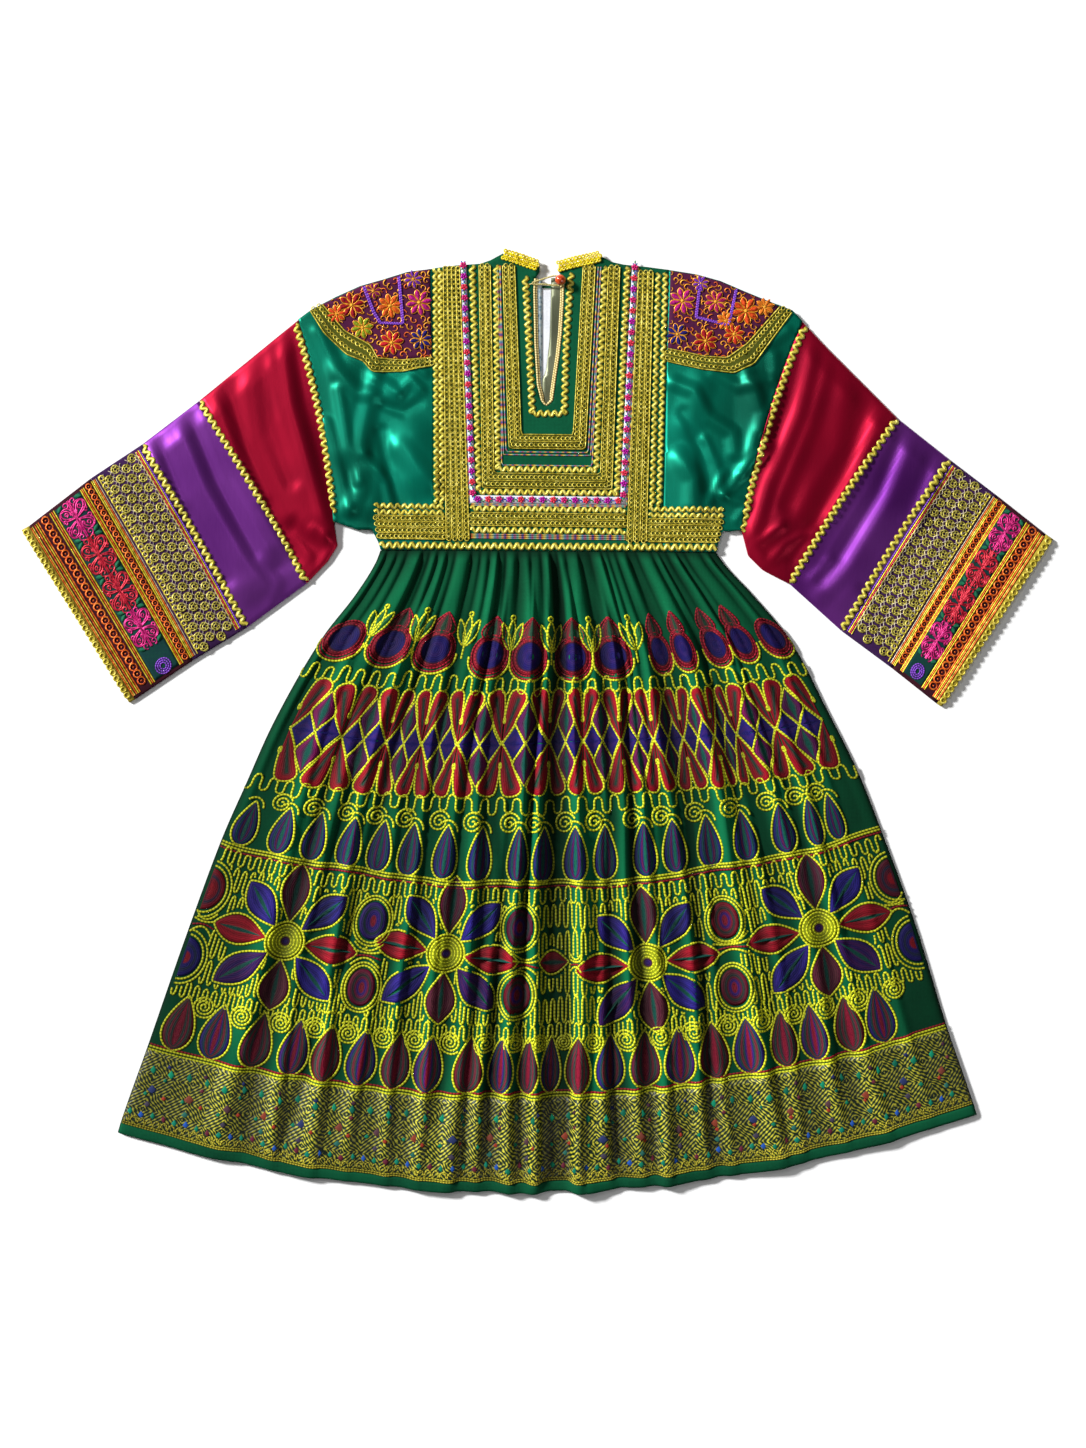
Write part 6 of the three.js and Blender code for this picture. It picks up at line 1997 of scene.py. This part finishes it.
# %% Neck opening
# a matt white lining, a dull grey satin beside it, and a piping with a fine bright twist
white_lining = woven_cotton("white_cotton_lining", "#E4E6EA", "#B8BCC4")
grey_satin = woven_satin("grey_satin_facing", "#3E4232", "#5E624C", "#8A8E74", 0.4)
piping_finish = chain_stitch("tan_gold_piping", "#7A6430", "#C8AE68", "#E8D69C", 0.003)


def printed_cotton(name):
    """Small pale flecks printed on blue, a few millimetres across."""
    finish, tree, shader = start_finish(name, Roughness=0.75)
    flecks = add_node(tree, "ShaderNodeTexVoronoi", {"Vector": object_place(tree), "Scale": 210.0})
    dress(tree, shader, colours_along(tree, flecks.outputs["Distance"],
                                      [(0.2, "#7A9EB4"), (0.34, "#B8D4DE"), (0.6, "#DCEAEE")]))
    return finish


def flat_piece(name, outline, bottom, thickness, finish, slot, node):
    """A nearly flat piece inside the opening, at its own height over the table."""
    piece = sheet_from_outline(name, outline, 4.0, 0, thickness, finish, slot, [node],
                               height=lambda x, y: bottom + thickness + small_ripples(x * 1.5, y, 0.08))
    xs, ys = zip(*outline)
    return cut_as(piece, max(xs) - min(xs), max(ys) - min(ys))


print_cotton = printed_cotton("printed_pale_blue_cotton")
flat_piece("white_back_lining", [(-28, 372), (54, 372), (54, 530), (44, 538), (18, 522), (2, 522), (-20, 538),
                                 (-28, 530)], 1.8, 0.8, white_lining, "white_lining", "back_lining")
flat_piece("printed_facing_left", [(-12, 384), (4, 384), (6, 412), (6, 532), (-12, 536)], 2.9, 0.8,
           print_cotton,
           "printed_facing", "slit_facing_left")
flat_piece("satin_facing_right", [(8, 376), (38, 380), (40, 534), (16.8, 534), (16.8, 520),
                                  (15, 460), (11, 424),
                                  (6.6, 412), (5, 384)], 2.9, 0.8, grey_satin, "satin_facing",
           "slit_facing_right")
slit_line, _ = evenly(SLIT, 3.0)
inner_line = slit_line.copy()
inner_line[:, 0] += np.where(slit_line[:, 0] < 10, 2.2, -2.2) * np.clip((slit_line[:, 1] - 381) / 12, 0, 1)
lay_threads("slit_piping_cord", [on_body(slit_line[:, 0], slit_line[:, 1], 0.2),
            on_body(*inner_line.T, -1.2)],
            2.6, 2.2, piping_finish, ["slit_piping"])
print("opening:", [name for name in MADE if "facing" in name or "lining" in name])

# %% Bead, loop and collar beads


def polished_stone(name, dark, light, rough=0.16):
    """Stone or pressed glass: one sharp highlight over soft veins of colour."""
    finish, tree, shader = start_finish(name, Roughness=rough, IOR=1.54, Coat_Weight=0.4)
    veins = noise(tree, object_place(tree), 260.0, 4.0)
    dress(tree, shader, colours_along(tree, veins, [(0.35, dark), (0.65, light)]))
    return finish


carnelian = polished_stone("polished_carnelian", "#8E2208", "#E0561E")
yellow_glass = polished_stone("pressed_yellow_glass", "#C8A80A", "#F6E420", 0.22)
cord_finish = chain_stitch("twisted_loop_cord", "#7A6C38", "#B8A860", "#DCCF90", 0.002)
BEAD_X, BEAD_Y, BEAD_Z = 28, 530, 13.5
BEAD_RADIUS, HOLE_RADIUS, LOOP_RADIUS = 6.5, 1.1, 5.87

# the bead is a profile turned round its hole, which runs down the dress
angle = np.linspace(0, math.pi, 25)
profile = np.column_stack([BEAD_RADIUS * np.sin(angle), -BEAD_RADIUS * np.cos(angle) * 0.97])
profile[0, 0] = profile[-1, 0] = HOLE_RADIUS
profile = np.vstack([profile, [(HOLE_RADIUS, profile[-1, 1]), (HOLE_RADIUS, profile[0, 1])]])
spin = np.linspace(0, 2 * math.pi, 40, endpoint=False)
points = np.array([[(BEAD_X + r * math.cos(a), BEAD_Y + z, BEAD_Z + r * math.sin(a)) for a in spin]
                   for r, z in profile])
rows, count = points.shape[:2]
r, c = np.meshgrid(np.arange(rows), np.arange(count), indexing="ij")
faces = [((r + i) % rows * count + (c + j) % count).reshape(-1) for i, j in ((0, 0), (1, 0), (1, 1), (0, 1))]
add_piece("carnelian_bead", points, np.stack(faces, axis=1), carnelian, "red_bead", ["button_bead"])

# two plies wound round a path that goes out to the bead, round it and back
loop_points = [(-3, 528.6), (8, 532.2), (19, 535.6)]
for degrees in (105, 60, 20, -20, -60, -105):
    t = math.radians(degrees)
    loop_points.append((BEAD_X + LOOP_RADIUS * math.cos(t), BEAD_Y + LOOP_RADIUS * math.sin(t)))
loop_points += [(19, 524.4), (8, 525.8), (-3, 525.4)]
smooth_loop, _ = evenly(loop_points, 1.0)
for _ in range(3):
    smooth_loop[1:-1] = (smooth_loop[:-2] + 2 * smooth_loop[1:-1] + smooth_loop[2:]) / 4
wind = np.linspace(0, 2 * math.pi * 16, len(smooth_loop))
plies = [np.column_stack([smooth_loop[:, 0], smooth_loop[:, 1] + 0.5 * np.cos(wind + s),
                          8.1 + 0.5 * np.sin(wind + s)]) for s in (0, math.pi)]
t = np.linspace(0, 2 * math.pi, 15)
knot = np.column_stack([-4 + 1.5 * np.cos(2 * t), 527 + 1.5 * np.sin(2 * t), 8.2 + 0.9 * np.sin(3 * t)])
tail = np.column_stack([np.linspace(-4, -9, 6), np.linspace(527, 526, 6), np.linspace(8.0, 5.4, 6)])
lay_threads("twisted_button_loop", plies + [knot, tail], 1.4, 1.4, cord_finish, ["button_loop"],
            sides=6)

# three rows of beads on each end of the collar, the middle one half a bead on
bead_unit = unit_mesh("glass_bead", *tube_ring(1.75, 1.25, 8, 5))
BEAD_STEP, ROW_STEP = 4.4, 4.5
beads = []
for (ax, ay), (bx, by) in (((-41, 563), (5, 548)), ((24, 547.5), (76, 560.5))):
    length = math.hypot(bx - ax, by - ay)
    ux, uy = (bx - ax) / length, (by - ay) / length
    for n in range(int(length / BEAD_STEP)):
        for k in range(3):
            s, w = 2.2 + BEAD_STEP * n + 2.2 * (k % 2), (k - 1.1) * ROW_STEP
            lift = 1.2 + 0.4 * math.sin(2.3 * n + k)
            beads.append(on_body(ax + ux * s - uy * w, ay + uy * s + ux * w, lift))
order = np.arange(len(beads))
set_copies("collar_glass_beads", beads, order * 0.7, 0.95 + 0.12 * np.sin(order * 1.9),
           bead_unit, yellow_glass,
           ["collar_beads_left", "collar_beads_right"])
print("collar beads:", len(beads))

# %% [markdown]
# ## The floor, and the sizes
# The dress was photographed on a sheet of white paper. A plain matt plane just under it catches the soft
# shadows of the sleeves and the hem, which show that the cloth lies on something. It belongs to the studio,
# not to the dress, so it is marked as staging and left out of the measured size. At the end the sizes of the
# plain solids and of the dressed piece are measured.

# %% Floor and finish
FLOOR_REACH, FLOOR_LEVEL = 4, -0.0005
floor_finish, _, floor_shader = start_finish("matt_paper_floor", Roughness=0.9)
floor_shader.inputs["Base Color"].default_value = linear("#F8F8F8")
floor_mesh = bpy.data.meshes.new("paper_floor")
corners = [(x * FLOOR_REACH, y * FLOOR_REACH, FLOOR_LEVEL) for x, y in ((-1, -1), (1, -1), (1, 1), (-1, 1))]
floor_mesh.from_pydata(corners, [], [(0, 1, 2, 3)])
floor_mesh.materials.append(floor_finish)
floor = place_object("paper_floor", floor_mesh)
floor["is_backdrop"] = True
print("triangles added:", sum(MADE.values()), "in", len(MADE), "pieces;", len(CUTS), "sheets cut")

sizes = {"cad": [list(map(float, side)) for side in cad_box],
         "visual": [list(map(float, side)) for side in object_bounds()]}
